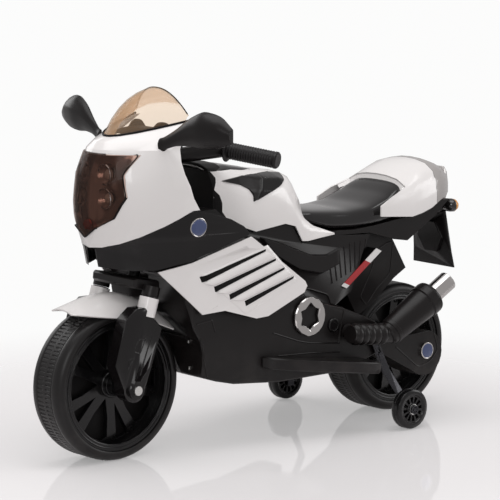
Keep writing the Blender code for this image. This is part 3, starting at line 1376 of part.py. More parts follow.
def training_bracket():
    """A steel strap bolted to the arm, bent out and down to the training wheel's stub."""
    inner_face = TRAINER_Y - TRAINER_HALF - PLAY
    stations = [((STRETCH - 0.1665, STRAP_Y, 0.1500), (0.86, 0, -0.50), (0, 1, 0)),
                ((STRETCH - 0.1960, STRAP_Y, 0.0900), (0.90, 0, -0.42), (0, 0.93, 0.36)),
                ((TRAINER_X, inner_face - STRAP_THICK / 2 - 0.004, 0.0500), (1, 0, 0), (0, 0.80, 0.60)),
                ((TRAINER_X, inner_face - STRAP_THICK / 2, 0.0250), (1, 0, 0), (0, 1, 0))]
    rings = []
    for centre, across, through in stations:
        a = Vector(across).normalized() * STRAP_WIDTH / 2
        t = Vector(through).normalized() * STRAP_THICK / 2
        c = Vector(centre)
        rings.append([tuple(c + a + t), tuple(c + a - t), tuple(c - a - t), tuple(c - a + t)])
    strap = baked(surface(rings, closed=True))
    x, z = TRAINER_CENTRE.x, TRAINER_CENTRE.z
    outer_face = TRAINER_Y + TRAINER_HALF + 0.0005
    stub = rod((x, inner_face - STRAP_THICK / 2, z), (x, outer_face + 0.003, z), TRAINER_BORE, sides=16)
    head = rod((x, outer_face, z), (x, outer_face + 0.004, z), 0.0080, sides=6)
    boolean(strap, stub, "UNION")
    boolean(strap, head, "UNION")
    for share in (0.14, 0.50):
        spot = Vector(stations[0][0]).lerp(Vector(stations[1][0]), share)
        bolt = rod((spot.x, STRAP_Y, spot.z), (spot.x, STRAP_Y + STRAP_THICK / 2 + 0.003, spot.z),
                   0.0048, sides=12)
        boolean(strap, bolt, "UNION")
    return smooth(baked(strap), 30)


# Exhausts

def exhaust():
    """A ribbed elbow out of the body's side and a muffler that widens to the rear."""
    inlet = Vector((STRETCH - 0.112, BODY_HALF + GAP, 0.167))
    start_point = Vector((STRETCH - 0.098, EXHAUST_Y, 0.1665))
    joint = Vector((STRETCH - 0.182, EXHAUST_Y, 0.1570))
    along = (joint - start_point).normalized()
    length = (joint - start_point).length
    profile = [(0, 0), (0.0125, 0.0)]
    for i in range(5):
        at = 0.006 + 0.0135 * i
        profile += [(0.0150, at), (0.0180, at + 0.0067)]
    profile += [(0.0160, length + 0.004), (0, length + 0.004)]
    pipe = spindle([(r, h) for r, h in reversed(profile)], start_point, along, 14)
    neck = rod(inlet, (inlet.x, EXHAUST_Y, inlet.z), 0.0115, sides=12)
    aim = muffler_aim()
    base = joint - aim * 0.004
    tail = MUFFLER_LENGTH
    can = spindle([(0, tail), (MUFFLER_REAR_RADIUS - 0.004, tail), (MUFFLER_REAR_RADIUS, tail - 0.004),
                   (MUFFLER_FRONT_RADIUS + 0.0015, 0.008), (MUFFLER_FRONT_RADIUS - 0.003, 0.0),
                   (0, 0)], base, aim, 18)
    boolean(pipe, neck, "UNION")
    boolean(pipe, can, "UNION")
    tip_length = 0.044
    tip = spindle([(0, 0.003), (TIP_RADIUS - 0.0015, 0.003), (TIP_RADIUS - 0.0015, tip_length),
                   (TIP_RADIUS, tip_length), (TIP_RADIUS, 0.0), (0, 0.0)],
                  base + aim * (tail + GAP), aim, 20)
    return smooth(baked(pipe), 30), tip


MUFFLER_LENGTH = 0.114


def muffler_aim():
    return Vector((-math.cos(EXHAUST_RISE), 0, math.sin(EXHAUST_RISE)))


# Footrests, pedal, switches and what is inside

FOOTREST = aft([(0.070, BODY_HALF + GAP), (0.062, 0.117), (0.030, 0.133), (-0.020, 0.145), (-0.080, 0.154),
            (-0.125, 0.158), (-0.141, 0.155), (-0.147, 0.146), (-0.147, BODY_HALF + GAP)])
FOOT_TOP_FRONT = 0.1465
FOOT_SLOPE = 0.135
FOOT_THICK = 0.019
PEDAL_HEEL = Vector((STRETCH * 0.4 - 0.040, -0.124, 0.0))
PEDAL_LENGTH = 0.066
PEDAL_HALF = 0.013


def foot_top(x):
    return FOOT_TOP_FRONT - (0.066 - x) * FOOT_SLOPE


def footrest():
    plate = flat([FOOTREST], FOOT_THICK, -FOOT_THICK / 2)
    for vert in plate.data.vertices:
        vert.co.z += foot_top(vert.co.x)
        if vert.co.z < foot_top(vert.co.x) - FOOT_THICK / 2:
            vert.co.y -= 0.003 if vert.co.y > BODY_HALF + 0.005 else 0.0
    bevel(plate, 0.002, 1, 50)
    return smooth(baked(plate), 30)


def pedal():
    """The accelerator pedal: a wedge that turns on its heel above the right footrest."""
    heel = Vector((PEDAL_HEEL.x, PEDAL_HEEL.y, foot_top(PEDAL_HEEL.x) + 0.0033))
    barrel = rod(heel + Vector((0, -PEDAL_HALF, 0)), heel + Vector((0, PEDAL_HALF, 0)), 0.003, sides=12)
    rise = math.atan(FOOT_SLOPE) + PEDAL_RANGE + math.radians(1.5)
    toe = heel + Vector((math.cos(rise), 0, math.sin(rise))) * PEDAL_LENGTH
    blade = side_plate([[(heel.x, heel.z - 0.001), (toe.x, toe.z - 0.001), (toe.x - 0.001, toe.z + 0.003),
                         (heel.x, heel.z + 0.0028)]], heel.y - PEDAL_HALF, heel.y + PEDAL_HALF)
    boolean(barrel, blade, "UNION")
    return smooth(baked(barrel), 30), heel


DASH_SLOPE = math.atan2(0.405 - 0.388, 0.240 - 0.165)
SWITCH_CENTRE = Vector((0.179, 0.036, 0.388 + 0.014 * math.tan(DASH_SLOPE) - 0.0014))
SWITCH_LONG = 0.0200
SWITCH_WIDE = 0.0125


def dash_frame():
    return Matrix.Translation(SWITCH_CENTRE) @ Matrix.Rotation(-DASH_SLOPE, 4, "Y")


def switch_hole():
    hole = box((-SWITCH_LONG / 2 - 0.0006, -SWITCH_WIDE / 2 - 0.0004, -0.010),
               (SWITCH_LONG / 2 + 0.0006, SWITCH_WIDE / 2 + 0.0004, 0.010))
    return shift(hole, dash_frame())


def rocker():
    """A rocker switch that tips about a cross axis in the dash."""
    half = SWITCH_LONG / 2
    outline = [(-half, -0.0035), (-half, 0.0052), (-half * 0.5, 0.0034), (0, 0.0028),
               (half * 0.5, 0.0022), (half, 0.0022), (half, -0.0035), (0, -0.0055)]
    shape = side_plate([outline], -SWITCH_WIDE / 2, SWITCH_WIDE / 2)
    return shift(shape, dash_frame())


def electrics():
    length, width, height = BATTERY
    front = 0.0
    floor = 0.1015 + WALL + GAP
    block = box((front - length, -width / 2, floor), (front, width / 2, floor + height))
    for x in (front - 0.012, front - length + 0.012):
        post = rod((x, 0.012, floor + height - 0.001), (x, 0.012, floor + height + 0.006), 0.003, sides=10)
        boolean(block, post, "UNION")
    keep(baked(block), "battery", "grey")
    board = box((front + GAP, -0.026, floor + 0.010), (front + GAP + 0.0016, 0.026, floor + 0.080))
    for y, z, wide, tall in ((-0.012, 0.030, 0.016, 0.018), (0.012, 0.030, 0.016, 0.018),
                             (0.0, 0.060, 0.030, 0.010)):
        part = box((front + 0.001, y - wide / 2, floor + z - tall / 2),
                   (front + 0.013, y + wide / 2, floor + z + tall / 2))
        boolean(board, part, "UNION")
    keep(baked(board), "circuit_board", "board")
    socket = spindle([(0, 0.004), (CHARGE_RADIUS + 0.003, 0.004), (CHARGE_RADIUS + 0.003, GAP),
                      (CHARGE_RADIUS, GAP), (CHARGE_RADIUS, -0.014), (0, -0.014)],
                     CHARGE_CENTRE, (0, -1, 0), 16)
    inlet = rod(CHARGE_CENTRE + Vector((0, 0.008, 0)), CHARGE_CENTRE - Vector((0, 0.01, 0)), 0.0035, sides=12)
    boolean(socket, inlet)
    keep(smooth(baked(socket), 30), "charger_socket", "black")


CHARGE_CENTRE = Vector((0.120, -BODY_HALF, 0.170))


def centre_length():
    """Moves every piece back, so that the middle of the whole length stands over the origin."""
    for piece in PARTS.objects:
        if piece.data:
            piece.data.transform(Matrix.Translation(-middle()))


def build():
    """Makes every piece and hangs the moving ones on their joints' axes."""
    front_tyre, front_rim, rear_tyre, rear_rim = wheels()
    steered, horn = steering()
    nose()
    body()
    keep(smooth(baked(tank()), 30), "tank_cover", "white")
    panels()
    seat_and_tail()
    arms()
    output, compound, pinion = drive_train()
    trainers = pair(training_wheel(), "training_wheel", "black")
    pair(training_bracket(), "training_bracket", "steel")
    pipe, tip = exhaust()
    pair(pipe, "exhaust", "black")
    pair(tip, "exhaust_tip", "chrome")
    pair(footrest(), "footrest", "black")
    blade, heel = pedal()
    keep(blade, "accelerator_pedal", "grey")
    left_rocker = rocker()
    right_rocker = mirrored(left_rocker)
    keep(left_rocker, "direction_switch", "grey")
    keep(right_rocker, "power_switch", "red")
    electrics()
    keep(motor_lead(), "motor_lead", "red")
    steer = pivot("steering_axis", STEER_FOOT, STEER_DIR, steered)
    pivot("front_wheel_axis", FRONT_CENTRE, (0, 1, 0), [front_tyre, front_rim], steer)
    pivot("horn_axis", button_base(1), (0, 0, 1), [horn], steer)
    pivot("rear_wheel_axis", REAR_CENTRE, (0, 1, 0), [rear_tyre, rear_rim, output])
    pivot("compound_axis", COMPOUND_CENTRE, (0, 1, 0), [compound])
    pivot("pinion_axis", MOTOR_CENTRE, (0, 1, 0), [pinion])
    pivot("training_left_axis", TRAINER_CENTRE, (0, 1, 0), [trainers[0]])
    pivot("training_right_axis", Vector((TRAINER_X, -TRAINER_Y, TRAINER_CENTRE.z)), (0, 1, 0), [trainers[1]])
    pivot("pedal_axis", heel, (0, 1, 0), [blade])
    pivot("direction_axis", SWITCH_CENTRE, (0, 1, 0), [left_rocker])
    right_centre = Vector((SWITCH_CENTRE.x, -SWITCH_CENTRE.y, SWITCH_CENTRE.z))
    pivot("power_axis", right_centre, (0, 1, 0), [right_rocker])
    centre_length()


build()
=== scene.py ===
# Looks of the kids electric motorcycle: finishes for every piece and the moulded detail on top of the CAD.
# Metres, +X forward, +Y the rider's left, ground at z = 0.
import json
import math

import bmesh
import bpy
import numpy as np
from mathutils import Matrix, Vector

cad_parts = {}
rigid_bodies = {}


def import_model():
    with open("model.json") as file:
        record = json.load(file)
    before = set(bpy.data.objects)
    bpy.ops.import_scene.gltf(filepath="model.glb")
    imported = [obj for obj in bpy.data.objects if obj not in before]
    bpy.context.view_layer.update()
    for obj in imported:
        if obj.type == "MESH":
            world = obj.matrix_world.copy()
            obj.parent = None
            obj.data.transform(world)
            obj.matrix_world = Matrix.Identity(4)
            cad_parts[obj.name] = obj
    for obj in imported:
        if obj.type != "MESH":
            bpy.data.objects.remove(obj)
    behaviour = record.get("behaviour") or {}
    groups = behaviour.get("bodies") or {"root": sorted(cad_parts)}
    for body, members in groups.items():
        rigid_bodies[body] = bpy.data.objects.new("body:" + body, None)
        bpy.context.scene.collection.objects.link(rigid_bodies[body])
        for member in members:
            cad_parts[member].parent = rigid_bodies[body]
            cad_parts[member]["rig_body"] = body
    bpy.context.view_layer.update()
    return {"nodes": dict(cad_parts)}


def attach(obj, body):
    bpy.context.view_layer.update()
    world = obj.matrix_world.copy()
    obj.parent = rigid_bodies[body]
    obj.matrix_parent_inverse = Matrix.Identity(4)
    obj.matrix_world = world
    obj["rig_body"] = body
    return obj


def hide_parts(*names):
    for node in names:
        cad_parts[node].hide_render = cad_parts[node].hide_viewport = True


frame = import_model()
nodes = frame["nodes"]
bodyOf = {name: obj["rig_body"] for name, obj in nodes.items()}
print("frame loaded:", len(nodes), "nodes")


# Shader helpers

# A value in a shader tree; arithmetic on it adds Math nodes.
class Value:
    def __init__(self, shader, socket):
        self.shader = shader
        self.socket = socket

    def __add__(self, other):
        return self.shader.math("ADD", self, other)

    def __sub__(self, other):
        return self.shader.math("SUBTRACT", self, other)

    def __rsub__(self, other):
        return self.shader.math("SUBTRACT", other, self)

    def __mul__(self, other):
        return self.shader.math("MULTIPLY", self, other)

    __radd__ = __add__
    __rmul__ = __mul__


# A node tree, a material's own unless one is given; each method adds a node and returns its value.
class Shader:
    def __init__(self, name, tree=None):
        if tree is None:
            self.material = bpy.data.materials.new(name)
            self.material.use_nodes = True
            tree = self.material.node_tree
        self.tree = tree
        self.tree.nodes.clear()

    # One node: its type, its settings, then its sockets by name or number.
    def node(self, kind, settings=None, sockets=None, out=0):
        made = self.tree.nodes.new(kind)
        for key, value in (settings or {}).items():
            setattr(made, key, value)
        for key, value in (sockets or {}).items():
            if isinstance(value, Value):
                self.tree.links.new(value.socket, made.inputs[key])
            else:
                made.inputs[key].default_value = value
        return Value(self, made.outputs[out]) if len(made.outputs) else None

    # One sum; the name is a Math node's operation.
    def math(self, kind, a, b=0.0, clamp=False):
        return self.node("ShaderNodeMath", {"operation": kind, "use_clamp": clamp}, {0: a, 1: b})

    # The piece's own coordinates, which are metres from the frame's origin.
    def place(self):
        return self.node("ShaderNodeTexCoord", out="Object")

    # The same, scaled along each axis.
    def stretched(self, scale):
        return self.node("ShaderNodeMapping", None, {"Vector": self.place(), "Scale": scale})

    # Noise from 0 to 1 over the piece.
    def noise(self, scale, detail, vector=None):
        return self.node("ShaderNodeTexNoise", None,
                         {"Vector": vector or self.place(), "Scale": scale, "Detail": detail, "Roughness": 0.5})

    # Zero below low, one above high, smooth between.
    def ramp(self, value, low, high):
        return self.node("ShaderNodeMapRange", {"interpolation_type": "SMOOTHSTEP"},
                         {"Value": value, "From Min": low, "From Max": high})

    # The colour a (1 - share) + b share.
    def mix(self, share, a, b):
        return self.node("ShaderNodeMix", {"data_type": "RGBA"}, {0: share, 6: a, 7: b}, 2)

    # One coordinate of the place: X, Y or Z.
    def axis(self, name):
        return self.node("ShaderNodeSeparateXYZ", None, {0: self.place()}, name)

    # Sends a surface to the output.
    def surface(self, value):
        self.node("ShaderNodeOutputMaterial", None, {"Surface": value})
        return self.material


# A colour with its alpha.
def rgb(red, green, blue):
    return (red, green, blue, 1.0)


# What all moulded plastic shares: scale and detail of each pattern, where wear and dust begin and end, and the joint
# between two colours.
wear = {
    "cloud": (7.0, 2.0), "speck": (160.0, 4.0), "lines": (60.0, 6.0), "lineStretch": (1.0, 14.0, 9.0),
    "linesWorn": (0.62, 0.74), "cloudWorn": (0.45, 0.62), "cloudShare": 0.7, "speckShare": 0.3, "lightShare": 0.6,
    "roughCloud": 0.35, "roughBase": 0.75, "fineDetail": 2.0,
    "dustHeight": (0.02, 0.20), "dustPatch": (35.0, 5.0), "dustEdge": (0.40, 0.75), "dustColour": (0.30, 0.27, 0.25),
    "jointStart": (0.0010, 0.0004), "jointWidth": 0.0006, "jointDark": 0.8, "jointColour": (0.01, 0.01, 0.01),
    "colourChange": 0.0003, "coatRough": 0.06, "bumpDepth": 0.0004, "bumpLines": 0.3,
}


# Moulded plastic: two close tones, faint swirls in the gloss, fine scratches, dust low down and softened edges. With a
# split (place, way, colour) the moulding takes another colour past a place along x, behind a dark joint.
def plastic(name, colour, rough=0.25, coat=0.0, tone=0.06, grain=0.02, scratch=0.10, dust=0.0, edge=0.0007,
            metallic=0.0, bumpScale=900.0, shine=0.5, split=None):
    s = Shader(name)
    cloud = s.noise(*wear["cloud"])
    speck = s.noise(*wear["speck"])
    lines = s.noise(*wear["lines"], s.stretched(wear["lineStretch"]))
    worn = s.ramp(lines, *wear["linesWorn"]) * s.ramp(cloud, *wear["cloudWorn"])
    dark = rgb(*(c * (1 - tone) for c in colour))
    light = rgb(*(min(1.0, c * (1 + tone * wear["lightShare"])) for c in colour))
    base = s.mix(cloud * wear["cloudShare"] + speck * wear["speckShare"], dark, light)
    if dust:
        low = (1 - s.ramp(s.axis("Z"), *wear["dustHeight"])) * s.ramp(s.noise(*wear["dustPatch"]), *wear["dustEdge"])
        base = s.mix(low * dust, base, rgb(*wear["dustColour"]))
    if split:
        place, way, other = split
        at = place * way
        x = s.axis("X") * way
        start, full = wear["jointStart"]
        joint = s.ramp(x, at - start, at - full) * (1 - s.ramp(x, at, at + wear["jointWidth"]))
        base = s.mix(s.ramp(x, at - wear["colourChange"], at + wear["colourChange"]), base, rgb(*other))
        base = s.mix(joint * wear["jointDark"], base, rgb(*wear["jointColour"]))
    gloss = s.math("ADD", worn * scratch + cloud * (rough * wear["roughCloud"]), rough * wear["roughBase"], True)
    fine = s.noise(bumpScale, wear["fineDetail"])
    softened = s.node("ShaderNodeBevel", {"samples": 4}, {"Radius": edge})
    normal = s.node("ShaderNodeBump", None, {"Strength": grain * 4, "Distance": wear["bumpDepth"],
                                             "Height": fine + lines * wear["bumpLines"], "Normal": softened})
    made = s.node("ShaderNodeBsdfPrincipled", None,
                  {"Base Color": base, "Roughness": gloss, "Metallic": metallic, "Coat Weight": coat,
                   "Coat Roughness": wear["coatRough"], "Specular IOR Level": shine, "Normal": normal})
    return s.surface(made)


# What all metal shares: scale and detail of the brushing and the stains, where a stain begins and ends, and how far
# it darkens and dulls.
tarnish = {"brush": (220.0, 5.0), "patch": (40.0, 4.0), "edge": (0.52, 0.70), "darker": 0.55, "duller": 0.18,
           "roughBrush": 0.6, "roughBase": 0.6, "bumpDepth": 0.0003}


# Metal: brushed or plated, with stains that dull it.
def metal(name, colour, rough=0.2, grain=0.05, stretch=(1.0, 1.0, 1.0), edge=0.0005, stain=0.3):
    s = Shader(name)
    brushed = s.noise(*tarnish["brush"], s.stretched(stretch))
    patch = s.noise(*tarnish["patch"])
    dull = s.ramp(patch, *tarnish["edge"])
    base = s.mix(dull * stain, rgb(*colour), rgb(*(c * tarnish["darker"] for c in colour)))
    gloss = s.math("ADD", dull * tarnish["duller"] + brushed * (rough * tarnish["roughBrush"]),
                   rough * tarnish["roughBase"], True)
    softened = s.node("ShaderNodeBevel", {"samples": 4}, {"Radius": edge})
    normal = s.node("ShaderNodeBump", None, {"Strength": grain * 4, "Distance": tarnish["bumpDepth"],
                                             "Height": brushed, "Normal": softened})
    made = s.node("ShaderNodeBsdfPrincipled", None,
                  {"Base Color": base, "Roughness": gloss, "Metallic": 1.0, "Normal": normal})
    return s.surface(made)


# What both clear sheets share: smears and their share of the roughness and of the mirror, the turn at which the
# edges begin to mirror, and a fine bump.
sheet = {"smear": (30.0, 4.0), "smearRough": 0.08, "smearMirror": 0.03, "smearDarker": 0.85, "blend": 0.35,
         "edgeMirror": 0.6, "fine": (400.0, 2.0), "bump": 0.03, "bumpDepth": 0.0003}


# Thin clear sheet: lets tinted light straight through and mirrors more towards its edges.
def clearSheet(name, tint, mirror, rough, haze, hazeColour):
    s = Shader(name)
    smear = s.noise(*sheet["smear"])
    facing = s.node("ShaderNodeLayerWeight", None, {"Blend": sheet["blend"]}, "Fresnel")
    fine = s.noise(*sheet["fine"])
    normal = s.node("ShaderNodeBump", None,
                    {"Strength": sheet["bump"], "Distance": sheet["bumpDepth"], "Height": fine})
    base = s.mix(smear, rgb(*hazeColour), rgb(*(c * sheet["smearDarker"] for c in hazeColour)))
    glaze = s.node("ShaderNodeBsdfPrincipled", None,
                   {"Base Color": base, "Roughness": smear * sheet["smearRough"] + rough, "Normal": normal})
    through = s.node("ShaderNodeBsdfTransparent", None, {"Color": rgb(*tint)})
    share = s.math("ADD", facing * sheet["edgeMirror"] + smear * sheet["smearMirror"], mirror + haze, True)
    made = s.node("ShaderNodeMixShader", None, {0: share, 1: through, 2: glaze})
    return s.surface(made)


# The motorcycle's finishes
paints = {
    "white": dict(colour=(0.80, 0.775, 0.765), rough=0.22, coat=0.35, tone=0.02, grain=0.010, scratch=0.06),
    "satinBlack": dict(colour=(0.0085, 0.0070, 0.0070), rough=0.34, tone=0.20, grain=0.035, scratch=0.14, dust=0.08,
                       shine=0.26),
    "glossBlack": dict(colour=(0.0065, 0.0055, 0.0058), rough=0.15, coat=0.12, tone=0.15, grain=0.012, scratch=0.08,
                       shine=0.30),
    "innerBlack": dict(colour=(0.0050, 0.0045, 0.0045), rough=0.50, tone=0.20, grain=0.05, scratch=0.10, shine=0.12),
    "wheelBlack": dict(colour=(0.0048, 0.0046, 0.0050), rough=0.20, coat=0.06, tone=0.18, grain=0.015, scratch=0.12,
                       dust=0.02, shine=0.36),
    "tyreBlack": dict(colour=(0.0100, 0.0090, 0.0092), rough=0.40, tone=0.20, grain=0.05, scratch=0.14, dust=0.04,
                      shine=0.30),
    "seatBlack": dict(colour=(0.0080, 0.0070, 0.0072), rough=0.12, coat=0.30, tone=0.12, grain=0.010, scratch=0.07,
                      shine=0.45),
    "nylon": dict(colour=(0.78, 0.76, 0.70), rough=0.42, tone=0.05, grain=0.03, edge=0.0002),
    "grey": dict(colour=(0.20, 0.20, 0.21), rough=0.45, tone=0.08, grain=0.04),
    "red": dict(colour=(0.50, 0.02, 0.02), rough=0.28, coat=0.2, tone=0.08, grain=0.02),
    "board": dict(colour=(0.03, 0.17, 0.07), rough=0.45, tone=0.15, grain=0.04, edge=0.0002),
    "silverLens": dict(colour=(0.50, 0.48, 0.47), rough=0.18, coat=0.6, tone=0.10, grain=0.02, metallic=0.35),
    "badgeFace": dict(colour=(0.045, 0.065, 0.16), rough=0.20, coat=0.5, tone=0.12, grain=0.01, edge=0.0002),
    "stripeRed": dict(colour=(0.42, 0.03, 0.035), rough=0.30, tone=0.10, grain=0.01, edge=0.0001),
    "stripeWhite": dict(colour=(0.78, 0.76, 0.75), rough=0.30, tone=0.03, grain=0.01, edge=0.0001),
    "lampRed": dict(colour=(0.80, 0.10, 0.05), rough=0.15, coat=0.5, tone=0.10, grain=0.01),
    "tailShell": dict(colour=(0.80, 0.775, 0.765), rough=0.22, coat=0.35, tone=0.02, grain=0.010, scratch=0.06,
                      split=(-0.3455, -1.0, (0.36, 0.34, 0.33))),
    "signalLens": dict(colour=(0.80, 0.33, 0.03), rough=0.14, coat=0.5, tone=0.10, grain=0.02,
                       split=(-0.3990, 1.0, (0.010, 0.009, 0.009))),
    "bowlGrey": dict(colour=(0.42, 0.35, 0.32), rough=0.16, coat=0.5, tone=0.30, grain=0.03, metallic=0.6),
    "bulb": dict(colour=(0.75, 0.72, 0.66), rough=0.12, coat=0.5, tone=0.05, grain=0.01),
}
metals = {
    "chrome": dict(colour=(0.54, 0.52, 0.51), rough=0.10, grain=0.010, stain=0.10),
    "zinc": dict(colour=(0.66, 0.66, 0.64), rough=0.26, grain=0.05, stretch=(1.0, 6.0, 1.0)),
    "steel": dict(colour=(0.055, 0.055, 0.060), rough=0.30, grain=0.06, stretch=(1.0, 1.0, 8.0)),
    "mirrorGlass": dict(colour=(0.90, 0.91, 0.92), rough=0.03, grain=0.004, stain=0.05),
}
sheets = {
    "smokeLens": dict(tint=(0.78, 0.68, 0.64), mirror=0.05, rough=0.05, haze=0.04, hazeColour=(0.05, 0.035, 0.03)),
    "amberSheet": dict(tint=(0.985, 0.92, 0.85), mirror=0.03, rough=0.04, haze=0.03, hazeColour=(0.75, 0.55, 0.38)),
}
finish = {name: make(name, **values) for make, group in ((plastic, paints), (metal, metals), (clearSheet, sheets))
          for name, values in group.items()}
print("finishes:", len(finish))

# Each finish and the CAD nodes that take it.
finishOf = {
    "white": ["nose_cowl", "tank_cover", "vent_panel_left", "vent_panel_right", "front_fender"],
    "satinBlack": ["body_shell_left", "body_shell_right", "tail_support", "swing_arm_cover", "gearbox_housing",
                   "gearbox_cover", "handlebar", "mirror_left", "mirror_right", "mudguard", "exhaust_left",
                   "exhaust_right", "footrest_left", "footrest_right", "charger_socket", "fork_crown"],
    "glossBlack": ["fork_leg_left", "fork_leg_right", "side_fairing_left", "side_fairing_right"],
    "wheelBlack": ["front_rim", "rear_rim"],
    "tyreBlack": ["front_tyre", "rear_tyre", "training_wheel_left", "training_wheel_right", "grip_left", "grip_right"],
    "seatBlack": ["seat"],
    "smokeLens": ["headlight_lens"],
    "amberSheet": ["windshield"],
    "chrome": ["ring_trim_left", "ring_trim_right", "exhaust_tip_left", "exhaust_tip_right"],
    "zinc": ["front_axle", "rear_axle", "motor_pinion"],
    "steel": ["training_bracket_left", "training_bracket_right", "motor"],
    "signalLens": ["turn_signal_left", "turn_signal_right"],
    "tailShell": ["tail_cover"],
    "silverLens": ["tail_light", "headlight_reflector"],
    "nylon": ["output_gear", "compound_gear"],
    "board": ["circuit_board"],
    "grey": ["battery", "accelerator_pedal", "direction_switch"],
    "red": ["power_switch", "horn_button", "motor_lead"],
}
paintOf = {node: name for name, group in finishOf.items() for node in group}


# Piece helpers

# Distances under which points are one, for new pieces and for copies of CAD nodes, and the turn that counts as flat.
joining = {"points": 1e-6, "slivers": 1e-7, "cadPoints": 0.00002, "flatDegrees": 0.8}


# Puts a mesh in the scene as a piece with a finish, riding on a body.
def addPiece(name, mesh, paint, body, crease=35, replaces=()):
    mesh.materials.clear()
    mesh.materials.append(finish[paint])
    mesh.shade_smooth()
    mesh.set_sharp_from_angle(angle=math.radians(crease))
    obj = bpy.data.objects.new(name, mesh)
    bpy.context.scene.collection.objects.link(obj)
    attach(obj, body)
    if replaces:
        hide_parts(*replaces)


# Joins a grid of points (rows, columns, 3) by quads; wrapped ways close on themselves and caps close the end rows.
def gridMesh(name, points, wrapRows=False, wrapColumns=False, caps=False):
    rows, columns = points.shape[:2]
    index = np.arange(rows * columns).reshape(rows, columns)
    if wrapRows:
        index = np.vstack([index, index[:1]])
    if wrapColumns:
        index = np.hstack([index, index[:, :1]])
    quads = np.stack([index[:-1, :-1], index[:-1, 1:], index[1:, 1:], index[1:, :-1]], -1).reshape(-1, 4).tolist()
    if caps:
        quads += [list(range(columns)), list(range((rows - 1) * columns, rows * columns))]
    mesh = bpy.data.meshes.new(name)
    mesh.from_pydata(points.reshape(-1, 3).tolist(), [], quads)
    work = bmesh.new()
    work.from_mesh(mesh)
    bmesh.ops.remove_doubles(work, verts=work.verts, dist=joining["points"])
    bmesh.ops.dissolve_degenerate(work, edges=work.edges, dist=joining["slivers"])
    bmesh.ops.recalc_face_normals(work, faces=work.faces)
    work.to_mesh(mesh)
    work.free()
    return mesh


# A grid of points as a piece.
def addGrid(name, points, paint, body="frame", crease=35, replaces=(), **wraps):
    addPiece(name, gridMesh(name, points, **wraps), paint, body, crease, replaces)


# A piece drawn on the left side and its mirror image, where y changes sign, both on one body.
def addPair(name, points, paint, body="frame", **wraps):
    for end, way in (("_l", 1.0), ("_r", -1.0)):
        addGrid(name + end, points * [1.0, way, 1.0], paint, body, **wraps)


# An axis as a unit vector and two more square to it: across = hint x axis, up = axis x across. The hint is z, or x
# where the axis itself is nearly z.
def squareTo(axis):
    axis = np.asarray(axis, float) / np.linalg.norm(axis)
    hint = np.array([0.0, 0.0, 1.0]) if abs(axis[2]) < 0.9 else np.array([1.0, 0.0, 0.0])
    across = np.cross(hint, axis)
    across /= np.linalg.norm(across)
    return axis, across, np.cross(axis, across)


# A profile of (radius, height) turned about an axis: centre + r(cos a across + sin a up) + h axis.
def turnedGrid(profile, centre, axis, steps):
    axis, across, up = squareTo(axis)
    turn = np.linspace(0, math.tau, steps, endpoint=False)[:, None, None]
    profile = np.asarray(profile, float)
    ring = np.cos(turn) * across + np.sin(turn) * up
    return np.asarray(centre) + ring * profile[None, :, :1] + axis * profile[None, :, 1:]


# Points evenly spaced by length along a line through given corners.
def along(corners, count):
    corners = np.asarray(corners, float)
    steps = np.linalg.norm(np.diff(corners, axis=0), axis=1)
    reach = np.concatenate([[0.0], np.cumsum(steps)])
    at = np.linspace(0, reach[-1], count)
    return np.stack([np.interp(at, reach, corners[:, k]) for k in range(corners.shape[1])], 1)


# Rounds a line's corners: each point becomes (the one before + 2 itself + the one after) / 4, a few times over.
def eased(points, times=2, closed=False):
    points = np.asarray(points, float)
    for _ in range(times):
        if closed:
            points = (np.roll(points, 1, 0) + 2 * points + np.roll(points, -1, 0)) / 4
        else:
            points = np.vstack([points[:1], (points[:-2] + 2 * points[1:-1] + points[2:]) / 4, points[-1:]])
    return points


# A section of (a, b) points carried along a path: path + a across + b lift, with across = run x up and lift =
# across x run, so that lift stays near the given up.
def carried(path, section, up=(0.0, 0.0, 1.0), closed=False):
    path = np.asarray(path, float)
    if closed:
        run = np.roll(path, -1, 0) - np.roll(path, 1, 0)
    else:
        run = np.gradient(path, axis=0)
    run /= np.linalg.norm(run, axis=1)[:, None]
    across = np.cross(run, np.asarray(up, float))
    across /= np.linalg.norm(across, axis=1)[:, None]
    lift = np.cross(across, run)
    section = np.asarray(section, float)
    return path[:, None] + across[:, None] * section[None, :, :1] + lift[:, None] * section[None, :, 1:]


# A round section: radius (cos a, sin a).
def ringSection(radius, sides=8):
    turn = np.linspace(0, math.tau, sides, endpoint=False)
    return np.stack([radius * np.cos(turn), radius * np.sin(turn)], 1)


# Several meshes as one.
def joinMeshes(name, meshes):
    work = bmesh.new()
    for mesh in meshes:
        work.from_mesh(mesh)
        bpy.data.meshes.remove(mesh)
    joined = bpy.data.meshes.new(name)
    work.to_mesh(joined)
    work.free()
    return joined


triangleStore = {}
coverage = {"thin": 1e-12, "inside": 1e-4, "outside": 1.0002}  # slack for flat triangles and for points on their sides


# The triangles of a CAD node as an array (triangles, 3, 3).
def trianglesOf(name):
    if name not in triangleStore:
        mesh = nodes[name].data
        mesh.calc_loop_triangles()
        points = np.zeros(len(mesh.vertices) * 3)
        mesh.vertices.foreach_get("co", points)
        corners = np.zeros(len(mesh.loop_triangles) * 3, int)
        mesh.loop_triangles.foreach_get("vertices", corners)
        triangleStore[name] = points.reshape(-1, 3)[corners].reshape(-1, 3, 3)
    return triangleStore[name]


